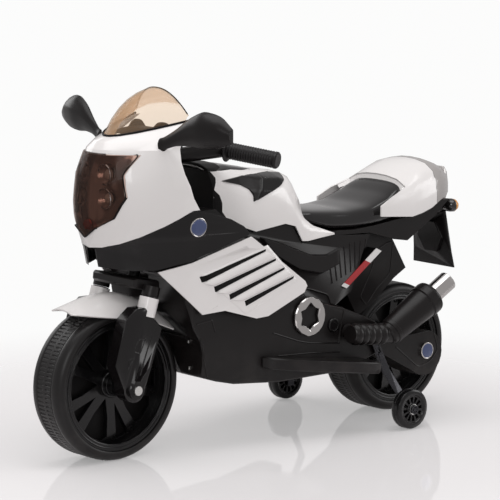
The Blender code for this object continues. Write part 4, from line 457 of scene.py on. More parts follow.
# Carries points along a direction onto CAD nodes. Seen that way a point is a + u b + v c of each triangle; it is
# inside where u, v and 1 - u - v aren't below zero, and the nearest triangle wins. A point that meets none takes the
# depth of the nearest one that does.
def dropOn(names, points, direction):
    look, side, up = squareTo(direction)
    turn = np.stack([side, up, look], 1)
    shape = points.shape
    flat = points.reshape(-1, 3) @ turn
    tri = np.concatenate([trianglesOf(name) for name in names]) @ turn
    a = tri[:, 0]
    b = tri[:, 1] - a
    c = tri[:, 2] - a
    area = b[:, 0] * c[:, 1] - b[:, 1] * c[:, 0]
    good = np.abs(area) > coverage["thin"]
    a, b, c, area = a[good], b[good], c[good], area[good]
    px = flat[:, None, 0] - a[:, 0]
    py = flat[:, None, 1] - a[:, 1]
    u = (px * c[:, 1] - py * c[:, 0]) / area
    v = (b[:, 0] * py - b[:, 1] * px) / area
    inside = (u > -coverage["inside"]) & (v > -coverage["inside"]) & (u + v < coverage["outside"])
    depth = np.where(inside, a[:, 2] + u * b[:, 2] + v * c[:, 2], np.inf).min(1)
    missed = ~np.isfinite(depth)
    if missed.any():
        found = np.flatnonzero(~missed)
        if len(found) == 0:
            raise ValueError("nothing to carry the points onto: " + str(names))
        gap = ((flat[missed][:, None, :2] - flat[found][None, :, :2]) ** 2).sum(2)
        depth[missed] = depth[found[gap.argmin(1)]]
    flat = np.stack([flat[:, 0], flat[:, 1], depth], 1)
    return (flat @ turn.T).reshape(shape)


leftward = np.array([0.0, -1.0, 0.0])
downward = np.array([0.0, 0.0, -1.0])
backward = np.array([-1.0, 0.0, 0.0])


# Drawn pairs as points in the plane square to a direction.
def launch(flat, direction):
    start = np.zeros(flat.shape[:-1] + (3,))
    main = int(np.argmax(np.abs(direction)))
    start[..., [axis for axis in range(3) if axis != main]] = flat
    return start


# A raised skin on CAD nodes. It lies between two drawn lines, upper (1 - s) + lower s, is dropped onto the nodes and
# stands out by height rise^0.5 + 4 bulge s (1 - s), where rise goes from 0 at the edges to 1 within a share edge of
# the way across. Its outermost points sink below the surface.
def skin(upper, lower, names, height, rows, columns, direction=leftward, edge=0.08, sink=0.0008, easing=1,
         bulge=0.0):
    top = eased(along(upper, columns), easing)
    low = eased(along(lower, columns), easing)
    s = np.linspace(0, 1, rows)[:, None]
    flat = top[None] * (1 - s[..., None]) + low[None] * s[..., None]
    laid = dropOn(names, launch(flat, direction), direction)
    t = np.linspace(0, 1, columns)
    nearT = np.minimum(t, 1 - t)[None, :] / edge
    nearS = np.minimum(s, 1 - s) / max(edge, 1.0 / rows)
    rise = np.clip(np.minimum(nearT, nearS), 0, 1)
    out = np.where(rise > 0, height * rise ** 0.5 + bulge * 4 * s * (1 - s), -sink)
    return laid - np.asarray(direction) * out[..., None]


# A bead: a round section carried along a line that is dropped onto CAD nodes and sinks in by a share of its radius.
def bead(line, names, radius, count, direction=leftward, closed=False, easing=2, sink=0.3):
    corners = np.vstack([line, line[:1]]) if closed else np.asarray(line, float)
    flat = along(corners, count + 1)[:-1] if closed else along(corners, count)
    flat = eased(flat, easing, closed)
    laid = dropOn(names, launch(flat, direction), direction) + np.asarray(direction) * radius * sink
    return carried(laid, ringSection(radius), -np.asarray(direction), closed)


# The upper and lower halves of a circle, (x + radius cos a, z +- radius sin a), from its front to its rear.
def circleLines(x, z, radius, count=24):
    turn = np.linspace(0, math.pi, count)
    upper = np.stack([x + radius * np.cos(turn), z + radius * np.sin(turn)], 1)
    return upper, upper * [1, -1] + [0, 2 * z]


# A CAD node's own shape for the picture: loose triangles joined, flat areas made whole and shaded smooth.
def polished(name, paint, crease=32):
    mesh = nodes[name].data.copy()
    work = bmesh.new()
    work.from_mesh(mesh)
    bmesh.ops.remove_doubles(work, verts=work.verts, dist=joining["cadPoints"])
    bmesh.ops.dissolve_limit(work, angle_limit=math.radians(joining["flatDegrees"]), verts=work.verts,
                             edges=work.edges)
    bmesh.ops.recalc_face_normals(work, faces=work.faces)
    work.to_mesh(mesh)
    work.free()
    mesh.name = name + "_skin"
    addPiece(name + "_skin", mesh, paint, bodyOf[name], crease, (name,))


# Camera and stage

view = {"target": (0.00045, 0.0, 0.3014), "toCamera": (0.6348, 0.7565, 0.1572), "distance": 4.8, "lens": 211.8,
        "sensor": 36.0, "clipEnd": 60.0}


# Turns an object so that its -Z points at a place.
def aimed(obj, target):
    obj.rotation_euler = (Vector(target) - obj.location).to_track_quat("-Z", "Y").to_euler()


# The camera stands at target + distance toCamera.
def buildCamera():
    data = bpy.data.cameras.new("view")
    data.lens = view["lens"]
    data.sensor_width = view["sensor"]
    data.clip_end = view["clipEnd"]
    camera = bpy.data.objects.new("view", data)
    bpy.context.scene.collection.objects.link(camera)
    camera.location = Vector(view["target"]) + Vector(view["toCamera"]) * view["distance"]
    aimed(camera, view["target"])
    bpy.context.scene.camera = camera


lamps = {
    "overhead": dict(place=(0.2, 0.2, 2.4), size=(2.6, 1.6), power=30.0),
    "key": dict(place=(2.2, 2.0, 1.5), size=(1.2, 1.2), power=16.0),
    "rearFill": dict(place=(-2.2, 1.4, 1.1), size=(1.0, 1.4), power=12.0),
    "farFill": dict(place=(0.4, -2.2, 1.3), size=(1.6, 1.2), power=10.0),
}
lampAim = (0.0, 0.0, 0.25)


# Flat lamps, each facing the middle of the motorcycle.
def buildLamps():
    for name, values in lamps.items():
        data = bpy.data.lights.new(name, "AREA")
        data.shape = "RECTANGLE"
        data.size, data.size_y = values["size"]
        data.energy = values["power"]
        lamp = bpy.data.objects.new(name, data)
        bpy.context.scene.collection.objects.link(lamp)
        lamp.location = values["place"]
        aimed(lamp, lampAim)


studio = {"backdrop": (0.973, 0.973, 0.970), "fill": (0.80, 0.78, 0.78), "strength": 0.62,
          "floor": (0.93, 0.89, 0.90), "floorRadius": 1.4, "fadeStart": 0.45, "fadeEnd": 1.05, "seeThrough": 0.30,
          "gloss": 0.9, "smear": (3.0, 3.0), "smearRough": 0.02, "rough": 0.03, "smearDarker": 0.98}


# The camera sees the plain backdrop, and everything else gets the softer fill.
def buildWorld():
    world = bpy.data.worlds.new("studio")
    bpy.context.scene.world = world
    world.use_nodes = True
    s = Shader("studio", world.node_tree)
    seen = s.node("ShaderNodeLightPath", out="Is Camera Ray")
    white = s.node("ShaderNodeBackground", None, {"Color": rgb(*studio["backdrop"]), "Strength": 1.0})
    soft = s.node("ShaderNodeBackground", None, {"Color": rgb(*studio["fill"]), "Strength": studio["strength"]})
    both = s.node("ShaderNodeMixShader", None, {0: seen, 1: soft, 2: white})
    s.node("ShaderNodeOutputWorld", None, {"Surface": both})


# The floor is a disc, points (r cos a, r sin a, 0), whose surface clears away towards its edge.
def buildFloor():
    radius = np.linspace(0.0, studio["floorRadius"], 12)[:, None]
    turn = np.linspace(0, math.tau, 64, endpoint=False)[None, :]
    points = np.stack([radius * np.cos(turn), radius * np.sin(turn), 0 * radius * turn], -1)
    mesh = gridMesh("floor", points, wrapColumns=True)
    s = Shader("floor")
    x = s.axis("X")
    y = s.axis("Y")
    away = s.math("SQRT", x * x + y * y)
    fade = s.ramp(away, studio["fadeStart"], studio["fadeEnd"])
    smear = s.noise(*studio["smear"])
    base = s.mix(smear, rgb(*studio["floor"]), rgb(*(c * studio["smearDarker"] for c in studio["floor"])))
    top = s.node("ShaderNodeBsdfPrincipled", None,
                 {"Base Color": base, "Roughness": smear * studio["smearRough"] + studio["rough"],
                  "Specular IOR Level": studio["gloss"]})
    clear = s.node("ShaderNodeBsdfTransparent")
    share = s.math("ADD", fade * (1.0 - studio["seeThrough"]), studio["seeThrough"], True)
    made = s.node("ShaderNodeMixShader", None, {0: share, 1: top, 2: clear})
    mesh.materials.append(s.surface(made))
    obj = bpy.data.objects.new("floor", mesh)
    bpy.context.scene.collection.objects.link(obj)


buildCamera()
buildLamps()
buildWorld()
buildFloor()
scene = bpy.context.scene
scene.view_settings.view_transform = "Standard"
print("stage built")


# CAD nodes: those inside stay as they are, the rebuilt ones are replaced by the pieces that follow, and every other
# one by a polished copy of itself

inside = ["battery", "circuit_board", "compound_gear", "motor", "motor_pinion", "output_gear", "motor_lead"]
rebuilt = ["front_tyre", "rear_tyre", "grip_left", "grip_right", "training_wheel_left", "training_wheel_right",
           "exhaust_left", "exhaust_right", "exhaust_tip_left", "exhaust_tip_right", "seat", "mirror_left",
           "mirror_right", "headlight_reflector"]
for name, obj in nodes.items():
    obj.data.materials.clear()
    obj.data.materials.append(finish[paintOf[name]])
    if name not in inside + rebuilt:
        polished(name, paintOf[name])
print("CAD nodes dressed")


# Wheels

wheelSpec = {
    "front": dict(centre=(0.29775, 0.0, 0.120), radius=0.120, body="front_wheel", first=182.0),
    "rear": dict(centre=(-0.29625, 0.0, 0.109), radius=0.109, body="rear_wheel", first=188.0),
}
treadSpec = {
    "half": 0.0375, "flat": 0.0225, "depth": 0.016, "wall": 0.0035, "shoulder": 0.011, "clear": 0.0003,
    "lines": (0.0008, 0.0016, 0.0024, 0.0030, 0.0160, 0.0168, 0.0176, 0.0190, 0.0216),
    "sideTop": 0.0125, "footRise": 0.0015, "footIn": 0.0004, "lipIn": 0.0012, "backTop": 0.012,
    "grooves": 110, "wave": (0, 1, 1, 0, 0, 0), "cut": 0.0011, "grooved": (0.0026, 0.0165),
    "seam": (0.0170, 0.0180), "seamCut": 0.0008, "slack": 0.0001,
}


# A moulded tyre. Its section runs from bead to bead over a flat tread with round shoulders. On the tread the radius
# drops by cut where the fine cross grooves run, a square wave of the angle, and by seamCut along the seam.
def buildTyre(name, spec, node):
    tread, radius = treadSpec, spec["radius"]
    half, flat, wall = tread["half"], tread["flat"], tread["wall"]
    inner = radius - tread["depth"] + tread["clear"]
    bend = np.radians(np.linspace(0, 90, 8))
    shoulder = np.stack([radius - tread["shoulder"] * (1 - np.cos(bend)), flat + (half - flat) * np.sin(bend)], 1)
    lines = np.array([[radius, y] for y in tread["lines"]])
    side = np.array([[radius - tread["sideTop"], half], [inner + tread["footRise"], half - tread["footIn"]],
                     [inner, half - tread["lipIn"]]])
    back = np.array([[inner, half - tread["lipIn"] - wall], [radius - tread["backTop"], half - wall],
                     [radius - wall, flat]])
    section = np.vstack([lines, shoulder, side, back])
    profile = np.vstack([section[::-1] * [1, -1], section])
    wave = np.array(tread["wave"])
    steps = tread["grooves"] * len(wave)
    grid = turnedGrid(profile, (0, 0, 0), (0, 1, 0), steps)
    groove = wave[np.arange(steps) % len(wave)]
    y = np.abs(profile[:, 1])
    onTop = profile[:, 0] > radius - tread["slack"]
    grooved, seam = (onTop & (y > tread[key][0]) & (y < tread[key][1]) for key in ("grooved", "seam"))
    drop = tread["cut"] * (groove[:, None] * grooved[None, :]) + tread["seamCut"] * seam[None, :]
    radial = grid * [1, 0, 1]
    length = np.linalg.norm(radial, axis=2, keepdims=True)
    grid = grid - radial / length * drop[..., None]
    addGrid(name, grid + np.array(spec["centre"]), "tyreBlack", spec["body"], 40, (node,), wrapRows=True,
            wrapColumns=True)


rimSpec = {
    "pairs": 5, "lean": 12.0, "bossRing": 0.0155, "face": 0.0100, "sunk": 0.0005,
    "boss": [(0.0, 0.0004), (0.0026, 0.0004), (0.0026, 0.0016), (0.0040, 0.0016), (0.0046, 0.0010), (0.0050, 0.0)],
    "lips": [(0.0050, 0.0340), (0.0095, 0.0335)], "lipBead": 0.0012,
    "discHole": 0.0160, "discBack": (0.0060, -0.0012), "discFront": (0.0050, 0.0004),
    "cap": [(0.0170, 0.0), (0.0215, 0.0), (0.0215, 0.0080), (0.0205, 0.0092), (0.0185, 0.0092), (0.0180, 0.0150),
            (0.0172, 0.0155)],
}


# Screw bosses at the spoke ends, beads round the lip and a stepped hub cap, all turned about the wheel's axis or one
# beside it, on both faces; a disc behind the spokes fills the middle once.
def dressRim(name, spec, side):
    centre = np.array(spec["centre"])
    outer = spec["radius"] - treadSpec["depth"]
    axis, face = (0, side, 0), side * rimSpec["face"]
    ringRadius = outer - rimSpec["bossRing"]
    bosses = []
    for pair in range(rimSpec["pairs"]):
        for lean in (-rimSpec["lean"], rimSpec["lean"]):
            turn = math.radians(spec["first"] + 360.0 / rimSpec["pairs"] * pair + lean)
            spot = centre + np.array([ringRadius * math.cos(turn), face - side * rimSpec["sunk"],
                                      ringRadius * math.sin(turn)])
            bosses.append(gridMesh("boss", turnedGrid(rimSpec["boss"], spot, axis, 14), wrapRows=True))
    addPiece(name + "_bosses", joinMeshes(name + "_bosses", bosses), "innerBlack", spec["body"])
    lips = []
    turn = np.linspace(0, math.tau, 96, endpoint=False)
    for inset, y in rimSpec["lips"]:
        radius = outer - inset
        path = centre + np.stack([radius * np.cos(turn), np.full(len(turn), side * y), radius * np.sin(turn)], 1)
        grid = carried(path, ringSection(rimSpec["lipBead"]), axis, True)
        lips.append(gridMesh("lip", grid, wrapRows=True, wrapColumns=True))
    addPiece(name + "_lip", joinMeshes(name + "_lip", lips), "wheelBlack", spec["body"])
    if side > 0:
        hole, (backInset, backY), (frontInset, frontY) = rimSpec["discHole"], rimSpec["discBack"], rimSpec["discFront"]
        disc = [(hole, backY), (outer - backInset, backY), (outer - frontInset, frontY), (hole, frontY)]
        addGrid(name + "_web", turnedGrid(disc, centre, axis, 64), "innerBlack", spec["body"], wrapRows=True,
                wrapColumns=True)
    addGrid(name + "_cap", turnedGrid(rimSpec["cap"], centre + np.array([0, face, 0]), axis, 40), "wheelBlack",
            spec["body"], wrapRows=True)


for key, spec in wheelSpec.items():
    buildTyre(key + "_tread", spec, key + "_tyre")
    dressRim(key + "_rim_near", spec, 1.0)
    dressRim(key + "_rim_far", spec, -1.0)
print("wheels built")


# Grips, training wheels and exhausts

gripSpec = {
    "inner": (0.11775, 0.078, 0.483), "sweep": 27.0, "drop": 8.0, "length": 0.092,
    "ribs": 17, "ribbed": (0.010, 0.084), "ribRoot": 0.0126, "rise": 0.0010,
    "flange": [(0.0, 0.003), (0.0175, 0.003), (0.0185, 0.004), (0.0185, 0.0055), (0.0175, 0.0065), (0.0130, 0.0075)],
    "end": [(0.0130, -0.0068), (0.0136, -0.006), (0.0136, -0.002), (0.0118, 0.0), (0.0, 0.0)],
}


# A grip turned about its axis: over the ribs the radius is ribRoot + rise sin^2 of the length; the end's heights are
# counted from the grip's length.
def buildGrip(side, node):
    sweep, drop = math.radians(gripSpec["sweep"]), math.radians(gripSpec["drop"])
    aim = (-math.sin(sweep) * math.cos(drop), side * math.cos(sweep) * math.cos(drop), -math.sin(drop))
    inner = np.array(gripSpec["inner"]) * [1, side, 1]
    height = np.linspace(*gripSpec["ribbed"], gripSpec["ribs"] * 6 + 1)
    phase = (height - height[0]) / (height[-1] - height[0]) * math.pi * gripSpec["ribs"]
    ribs = np.stack([gripSpec["ribRoot"] + gripSpec["rise"] * np.sin(phase) ** 2, height], 1)
    profile = np.vstack([gripSpec["flange"], ribs, np.array(gripSpec["end"]) + [0.0, gripSpec["length"]]])
    addGrid(node + "_rubber", turnedGrid(profile, inner, aim, 36), "tyreBlack", "steering", 40, (node,),
            wrapRows=True)


trainerSpec = {
    "centre": (-0.21125, 0.157, 0.034), "slots": 12, "slotDepth": 0.0050, "slotted": (0.0118, 0.0202),
    "face": [(0.0, 0.0088), (0.0075, 0.0088), (0.0090, 0.0094), (0.0105, 0.0092), (0.0116, 0.0078), (0.0120, 0.0078),
             (0.0200, 0.0078), (0.0204, 0.0078), (0.0225, 0.0080), (0.0236, 0.0096), (0.0262, 0.0100),
             (0.0300, 0.0097), (0.0320, 0.0085), (0.0330, 0.0062), (0.0330, 0.0022), (0.0324, 0.0018)],
    "washer": [(0.0, 0.0099), (0.0086, 0.0099), (0.0088, 0.0106), (0.0, 0.0106)],
    "nut": [(0.0, 0.0100), (0.0060, 0.0100), (0.0060, 0.0138), (0.0052, 0.0145), (0.0036, 0.0145), (0.0034, 0.0130),
            (0.0, 0.0130)],
}


# A small wheel turned about y from (radius, height) pairs; between two radii its face drops into slots by a square
# wave of the angle. Its washer and six-sided nut stay with the frame.
def buildTrainer(side, node):
    spec = trainerSpec
    centre, axis = np.array(spec["centre"]) * [1, side, 1], (0, side, 0)
    face = np.array(spec["face"])
    profile = np.vstack([face, face[::-1] * [1, -1]])
    steps = spec["slots"] * 8
    grid = turnedGrid(profile, (0, 0, 0), (0, 1, 0), steps)
    slotted = (profile[:, 0] > spec["slotted"][0]) & (profile[:, 0] < spec["slotted"][1])
    slot = (np.arange(steps) % 8 < 4)[:, None] & slotted[None, :]
    grid[..., 1] -= np.where(slot, np.sign(profile[:, 1])[None, :] * spec["slotDepth"], 0.0)
    addGrid(node + "_moulded", grid + centre, "wheelBlack", bodyOf[node], 35, (node,), wrapRows=True)
    parts = [gridMesh(key, turnedGrid(spec[key], centre, axis, sides), wrapRows=True)
             for key, sides in (("washer", 28), ("nut", 6))]
    addPiece(node + "_bolt", joinMeshes(node + "_bolt", parts), "zinc", "frame", 25)


exhaustSpec = {
    "start": (-0.10725, 0.126, 0.1665), "joint": (-0.19125, 0.126, 0.1570), "rise": 29.0, "length": 0.114,
    "rings": 5, "ringsFrom": 0.004, "ringsRun": 0.0680, "neck": 0.0146, "swell": 0.0036, "swellPower": 0.6,
    "socket": 0.015, "socketLong": 0.004,
    "root": (-0.12125, 0.1022, 0.167),
    "elbow": [(0, 0), (0.0118, 0), (0.0122, 0.002), (0.0115, 0.004), (0.0115, 0.0235), (0, 0.0235)],
    "can": [(0, 0), (0.0160, 0.0), (0.0190, 0.003), (0.0204, 0.009), (0.0216, 0.0094), (0.0220, 0.0104),
            (0.0226, 0.0160), (0.0218, 0.0166), (0.0222, 0.0178), (0.0269, 0.0910), (0.0265, 0.0918),
            (0.0285, 0.0935), (0.0285, 0.1070), (0.0279, 0.1078), (0.0284, 0.1086), (0.0275, 0.1120),
            (0.0253, 0.1138), (0.0215, 0.1140), (0.0207, 0.1118), (0.0, 0.1118)],
    "pipe": [(0.0149, 0.0012), (0.0149, 0.0434), (0.0155, 0.0440), (0.0161, 0.0440), (0.0165, 0.0434), (0.0165, 0.0)],
    "plug": [(0, 0.0), (0.0145, 0.0), (0.0145, 0.010), (0.0105, 0.011), (0, 0.011)],
}


# An elbow, a bellows whose radius is neck + swell |sin|^swellPower of the length, a muffler with seams, and a pipe
# with a plug inside it, each turned from (radius, height) pairs.
def buildExhaust(side, tag):
    spec = exhaustSpec
    flip = np.array([1, side, 1])
    start, joint, root = (np.array(spec[key]) * flip for key in ("start", "joint", "root"))
    run = joint - start
    length = np.linalg.norm(run)
    height = np.linspace(0.0, length, 81)
    phase = np.clip((height - spec["ringsFrom"]) / spec["ringsRun"], 0, 1) * math.pi * spec["rings"]
    rings = np.stack([spec["neck"] + spec["swell"] * np.abs(np.sin(phase)) ** spec["swellPower"], height], 1)
    end = length + spec["socketLong"]
    bellows = np.vstack([[(0, 0)], rings, [(spec["socket"], end), (0, end)]])
    rise = math.radians(spec["rise"])
    aim = np.array([-math.cos(rise), 0, math.sin(rise)])
    base = joint - aim * spec["socketLong"]
    tip = base + aim * spec["length"]
    parts = [gridMesh("bellows", turnedGrid(bellows, start, run, 32), wrapRows=True),
             gridMesh("elbow", turnedGrid(spec["elbow"], root, (0, side, 0), 24), wrapRows=True),
             gridMesh("can", turnedGrid(spec["can"], base, aim, 64), wrapRows=True)]
    node = "exhaust_" + tag
    addPiece(node + "_moulded", joinMeshes(node + "_moulded", parts), "satinBlack", "frame", 28, (node,))
    addGrid(node + "_pipe", turnedGrid(spec["pipe"], tip, aim, 56), "chrome", "frame", 30, ("exhaust_tip_" + tag,),
            wrapRows=True, wrapColumns=True)
    addGrid(node + "_plug", turnedGrid(spec["plug"], tip, aim, 32), "innerBlack", "frame", 30, wrapRows=True)


for side, tag in ((1, "left"), (-1, "right")):
    buildGrip(side, "grip_" + tag)
    buildTrainer(side, "training_wheel_" + tag)
    buildExhaust(side, tag)
print("grips, training wheels and exhausts built")


# Mouldings on the panels, drawn in side view as (x, z) and laid on the left side, then mirrored

tankSpec = {
    "upper": [(-0.0338, 0.4300), (-0.0100, 0.4345), (0.0230, 0.4355)],
    "lower": [(-0.0338, 0.4280), (-0.0180, 0.4200), (-0.0031, 0.4120), (0.0195, 0.4045), (0.0500, 0.3935)],
    "foldUpper": [(0.0190, 0.4350), (0.0661, 0.4364), (0.1121, 0.4311)],
    "foldLower": [(0.0450, 0.3960), (0.0565, 0.3925), (0.0551, 0.4031), (0.0624, 0.4133), (0.0783, 0.4223),
                  (0.1121, 0.4311)],
    "frontEdge": [(0.1312, 0.4490), (0.1312, 0.4186), (0.1312, 0.3960), (0.1312, 0.3640)],
    "frontInner": [(0.1262, 0.4480), (0.1198, 0.4362), (0.1290, 0.4186), (0.1184, 0.4098), (0.1133, 0.3967),
                   (0.1133, 0.3822), (0.1060, 0.3730), (0.1000, 0.3640)],
    "topNear": [(0.1310, 0.0520), (0.0900, 0.0470), (0.0500, 0.0400), (0.0200, 0.0280)],
    "dashNear": [(0.1310, 0.0530), (0.1120, 0.0500), (0.0940, 0.0400)],
    "height": 0.0019, "foldHeight": 0.0023, "frontHeight": 0.0009,
    "topHeight": 0.0010, "topBulge": 0.0004, "dashHeight": 0.0030, "dashBulge": 0.0010,
}
shelfSpec = {
    "upper": [(0.0425, 0.3370), (0.0087, 0.3271), (-0.0253, 0.3139), (-0.0683, 0.2963), (-0.1031, 0.2927),
              (-0.1338, 0.3029)],
    "lower": [(0.0100, 0.3040), (-0.0212, 0.2848), (-0.0469, 0.2705), (-0.0946, 0.2604), (-0.1340, 0.2729)],
    "height": 0.0040,
}
bodySpec = {
    "ledges": [[(0.0362, 0.1824), (0.0171, 0.1752), (-0.0169, 0.1628), (-0.0428, 0.1563), (-0.1080, 0.1483)],
               [(0.0255, 0.1435), (-0.0428, 0.1398), (-0.1081, 0.1333)],
               [(0.1943, 0.2150), (0.1626, 0.2185), (0.1564, 0.1986)],
               [(0.1729, 0.1283), (0.1777, 0.1500), (0.1807, 0.1732), (0.1850, 0.1900)]],
    "recess": [(-0.0168, 0.2351), (-0.0640, 0.2400), (-0.1080, 0.2250), (-0.1164, 0.2005), (-0.1036, 0.1488)],
    "ledgeBead": 0.0014, "recessBead": 0.0016, "postBead": 0.0013,
    "post": [(-0.2368, 0.2849), (-0.2549, 0.2932), (-0.2707, 0.2950), (-0.2644, 0.2413), (-0.2329, 0.2175),
             (-0.2104, 0.1929), (-0.1968, 0.2080), (-0.2190, 0.2462)],
}
legSpec = {"slots": [[(0.2896, 0.1985), (0.2757, 0.2000), (0.2878, 0.1761), (0.2996, 0.1808)],
                     [(0.3095, 0.1694), (0.2997, 0.1713), (0.3115, 0.1538)]],
           "ridge": [(0.2639, 0.2049), (0.2881, 0.1412)], "slotBead": 0.0010, "ridgeBead": 0.0012}
ventSpec = {
    "cover": ([(0.1963, 0.2956), (0.0571, 0.3289)], [(0.1027, 0.2196), (-0.0083, 0.2637)]),
    "slots": [([(0.1943, 0.2917), (0.0596, 0.3240)], [(0.1913, 0.2813), (0.0596, 0.3201)]),
              ([(0.1697, 0.2743), (0.0387, 0.3069)], [(0.1667, 0.2638), (0.0386, 0.3030)]),
              ([(0.1407, 0.2584), (0.0205, 0.2907)], [(0.1376, 0.2479), (0.0205, 0.2868)]),
              ([(0.1085, 0.2445), (0.0017, 0.2741)], [(0.1054, 0.2339), (0.0017, 0.2702)])],
    "coverHeight": 0.0009, "slotHeight": 0.0016, "swell": 0.0026,
}
ribSpec = {
    "top": [(-0.1031, 0.2877), (-0.1559, 0.3056), (-0.2100, 0.3100)],
    "bottom": [(-0.1431, 0.2450), (-0.1900, 0.2620), (-0.2300, 0.2840)], "footShift": (0.030, -0.004),
    "ribs": 9, "radius": 0.0014,
}
stripSpec = {"upper": [(-0.1369, 0.2360), (-0.2144, 0.2910)], "lower": [(-0.1480, 0.2309), (-0.2253, 0.2853)],
             "inside": 0.046, "face": 0.0696, "outside": 0.0712,
             "parts": [("low", 0.0, 0.08, "stripeWhite"), ("red", 0.08, 0.68, "stripeRed"),
                       ("top", 0.68, 1.0, "stripeWhite"), ("back", 0.0, 1.0, "innerBlack")]}
armSpec = {"ridge": [(-0.2293, 0.1271), (-0.2800, 0.0867), (-0.3076, 0.0935), (-0.3259, 0.1117), (-0.3162, 0.1403)],
           "ridgeBead": 0.0016, "badge": (-0.2966, 0.0990, 0.1135), "radius": 0.0140, "height": 0.0108,
           "face": [(0, 1.0), (0.50, 0.99), (0.86, 0.95), (0.86, 0.80), (0, 0.80)],
           "ring": [(0.84, 0.80), (0.86, 0.98), (0.92, 1.02), (1.0, 0.94), (1.0, 0.0), (0.84, 0.0)]}
badgeSpec = {"fairing": (0.1972, 0.3705, 0.0143), "height": 0.0009, "bulge": 0.0004, "ring": 0.0011}


# A pair of beads: an open one has capped ends, a closed one joins itself.
def beadPair(name, line, names, radius, count, paint, body="frame", closed=False, **ways):
    grid = bead(line, names, radius, count, closed=closed, **ways)
    addPair(name, grid, paint, body, wrapRows=closed, wrapColumns=True, caps=not closed)


# A pair of skins.
def skinPair(name, upper, lower, names, height, rows, columns, paint, **ways):
    addPair(name, skin(upper, lower, names, height, rows, columns, **ways), paint)


# A badge is a plain dome inside a plated ring, the dome's height a parabola of the place across it.
def buildBadge(name, x, z, radius, names):
    upper, lower = circleLines(x, z, radius)
    skinPair(name + "_face", upper, lower, names, badgeSpec["height"], 13, 24, "badgeFace", edge=0.12, easing=0,
             bulge=badgeSpec["bulge"])
    turn = np.linspace(0, math.tau, 40, endpoint=False)
    ring = np.stack([x + radius * np.cos(turn), z + radius * np.sin(turn)], 1)
    beadPair(name + "_ring", ring, names, badgeSpec["ring"], 56, "chrome", closed=True, easing=0)


# The strip is a straight bar: corners at a share s of its length are start + s (end - start) of its upper and lower
# lines. Its colours lie on a black back.
def buildStrip():
    ends = [np.array(stripSpec[line], float) for line in ("upper", "lower")]
    for tag, first, last, paint in stripSpec["parts"]:
        s = np.linspace(first, last, 8)[:, None]
        high, low = (line[0] * (1 - s) + line[1] * s for line in ends)
        near, far = (stripSpec[key] for key in (("inside", "face") if tag == "back" else ("face", "outside")))
        corners = [np.stack([flat[:, 0], 0 * s[:, 0] + y, flat[:, 1]], 1)
                   for flat, y in ((high, near), (high, far), (low, far), (low, near))]
        addPair("strip_" + tag, np.stack(corners, 1), paint, wrapColumns=True, caps=True)


tank = ["tank_cover"]
skinPair("tank_insert", tankSpec["upper"], tankSpec["lower"], tank, tankSpec["height"], 14, 30, "glossBlack")
skinPair("tank_insert_fore", tankSpec["foldUpper"], tankSpec["foldLower"], tank, tankSpec["foldHeight"], 14, 40,
         "satinBlack")
# A black strip across the tank's front: partly the dark piece in front of the tank, partly painted shadow of the
# steering column and handlebar.
skinPair("tank_front_dark_and_shade", tankSpec["frontEdge"], tankSpec["frontInner"], tank, tankSpec["frontHeight"], 8, 40,
         "innerBlack", edge=0.03, easing=0)


# The top of the tank in front: a skin from the left edge to the right one, drawn in plan and dropped from above.
def acrossTop(name, near, height, bulge, paint):
    far = [(x, -y) for x, y in near]
    addGrid(name, skin(near, far, tank, height, 24, 30, downward, edge=0.06, bulge=bulge), paint)


acrossTop("tank_top_panel", tankSpec["topNear"], tankSpec["topHeight"], tankSpec["topBulge"], "glossBlack")
acrossTop("dash_top", tankSpec["dashNear"], tankSpec["dashHeight"], tankSpec["dashBulge"], "innerBlack")

shell = ["body_shell_left"]
support = ["tail_support"] + shell
skinPair("body_shelf", shelfSpec["upper"], shelfSpec["lower"], support, shelfSpec["height"], 12, 48, "satinBlack",
         edge=0.05)
for count, line in enumerate(bodySpec["ledges"]):
    beadPair(f"body_ledge_{count}", line, shell, bodySpec["ledgeBead"], 50, "satinBlack")
beadPair("body_recess", bodySpec["recess"], shell, bodySpec["recessBead"], 60, "satinBlack", easing=4)
for count in range(ribSpec["ribs"]):
    at = int((count + 0.5) / ribSpec["ribs"] * 100)
    top, foot = (along(ribSpec[key], 101)[at] for key in ("top", "bottom"))
    beadPair(f"leg_rib_{count}", [top, foot + ribSpec["footShift"]], support, ribSpec["radius"], 24, "satinBlack",
             easing=0)
buildStrip()
beadPair("post_frame", bodySpec["post"], support, bodySpec["postBead"], 90, "satinBlack", closed=True, easing=3)
leg = ["fork_leg_left"]
for count, line in enumerate(legSpec["slots"]):
    beadPair(f"fork_slot_{count}", line, leg, legSpec["slotBead"], 48, "glossBlack", "steering", closed=True)
beadPair("fork_ridge", legSpec["ridge"], leg, legSpec["ridgeBead"], 30, "glossBlack", "steering", easing=0)

vent = ["vent_panel_left"]
skinPair("vent_face", *ventSpec["cover"], vent, ventSpec["coverHeight"], 24, 48, "white", edge=0.04, easing=0)
for count, (upper, lower) in enumerate(ventSpec["slots"]):
    # Each slot is filled by a dark skin wider than the CAD slit: painted shade of the slot's opening.
    skinPair(f"vent_slot_{count}", upper, lower, vent, ventSpec["slotHeight"], 10, 48, "innerBlack", edge=0.05,
             easing=0)
    if count:  # a swollen rib fills the space between this slot and the one above
        above = ventSpec["slots"][count - 1][1]
        skinPair(f"vent_rib_{count}", above, upper, vent, ventSpec["coverHeight"], 14, 48, "white", edge=0.10,
                 easing=0, bulge=ventSpec["swell"])

beadPair("arm_ridge", armSpec["ridge"], ["swing_arm_cover"], armSpec["ridgeBead"], 60, "satinBlack", easing=6)
for tag, paint in (("face", "badgeFace"), ("ring", "chrome")):
    profile = np.array(armSpec[tag]) * [armSpec["radius"], armSpec["height"]]
    addPair("arm_badge_" + tag, turnedGrid(profile, armSpec["badge"], (0, 1, 0), 40), paint, wrapRows=True,
            wrapColumns=tag == "ring")
buildBadge("fairing_badge", *badgeSpec["fairing"], ["side_fairing_left"])
print("mouldings built")


# Seat and backrest

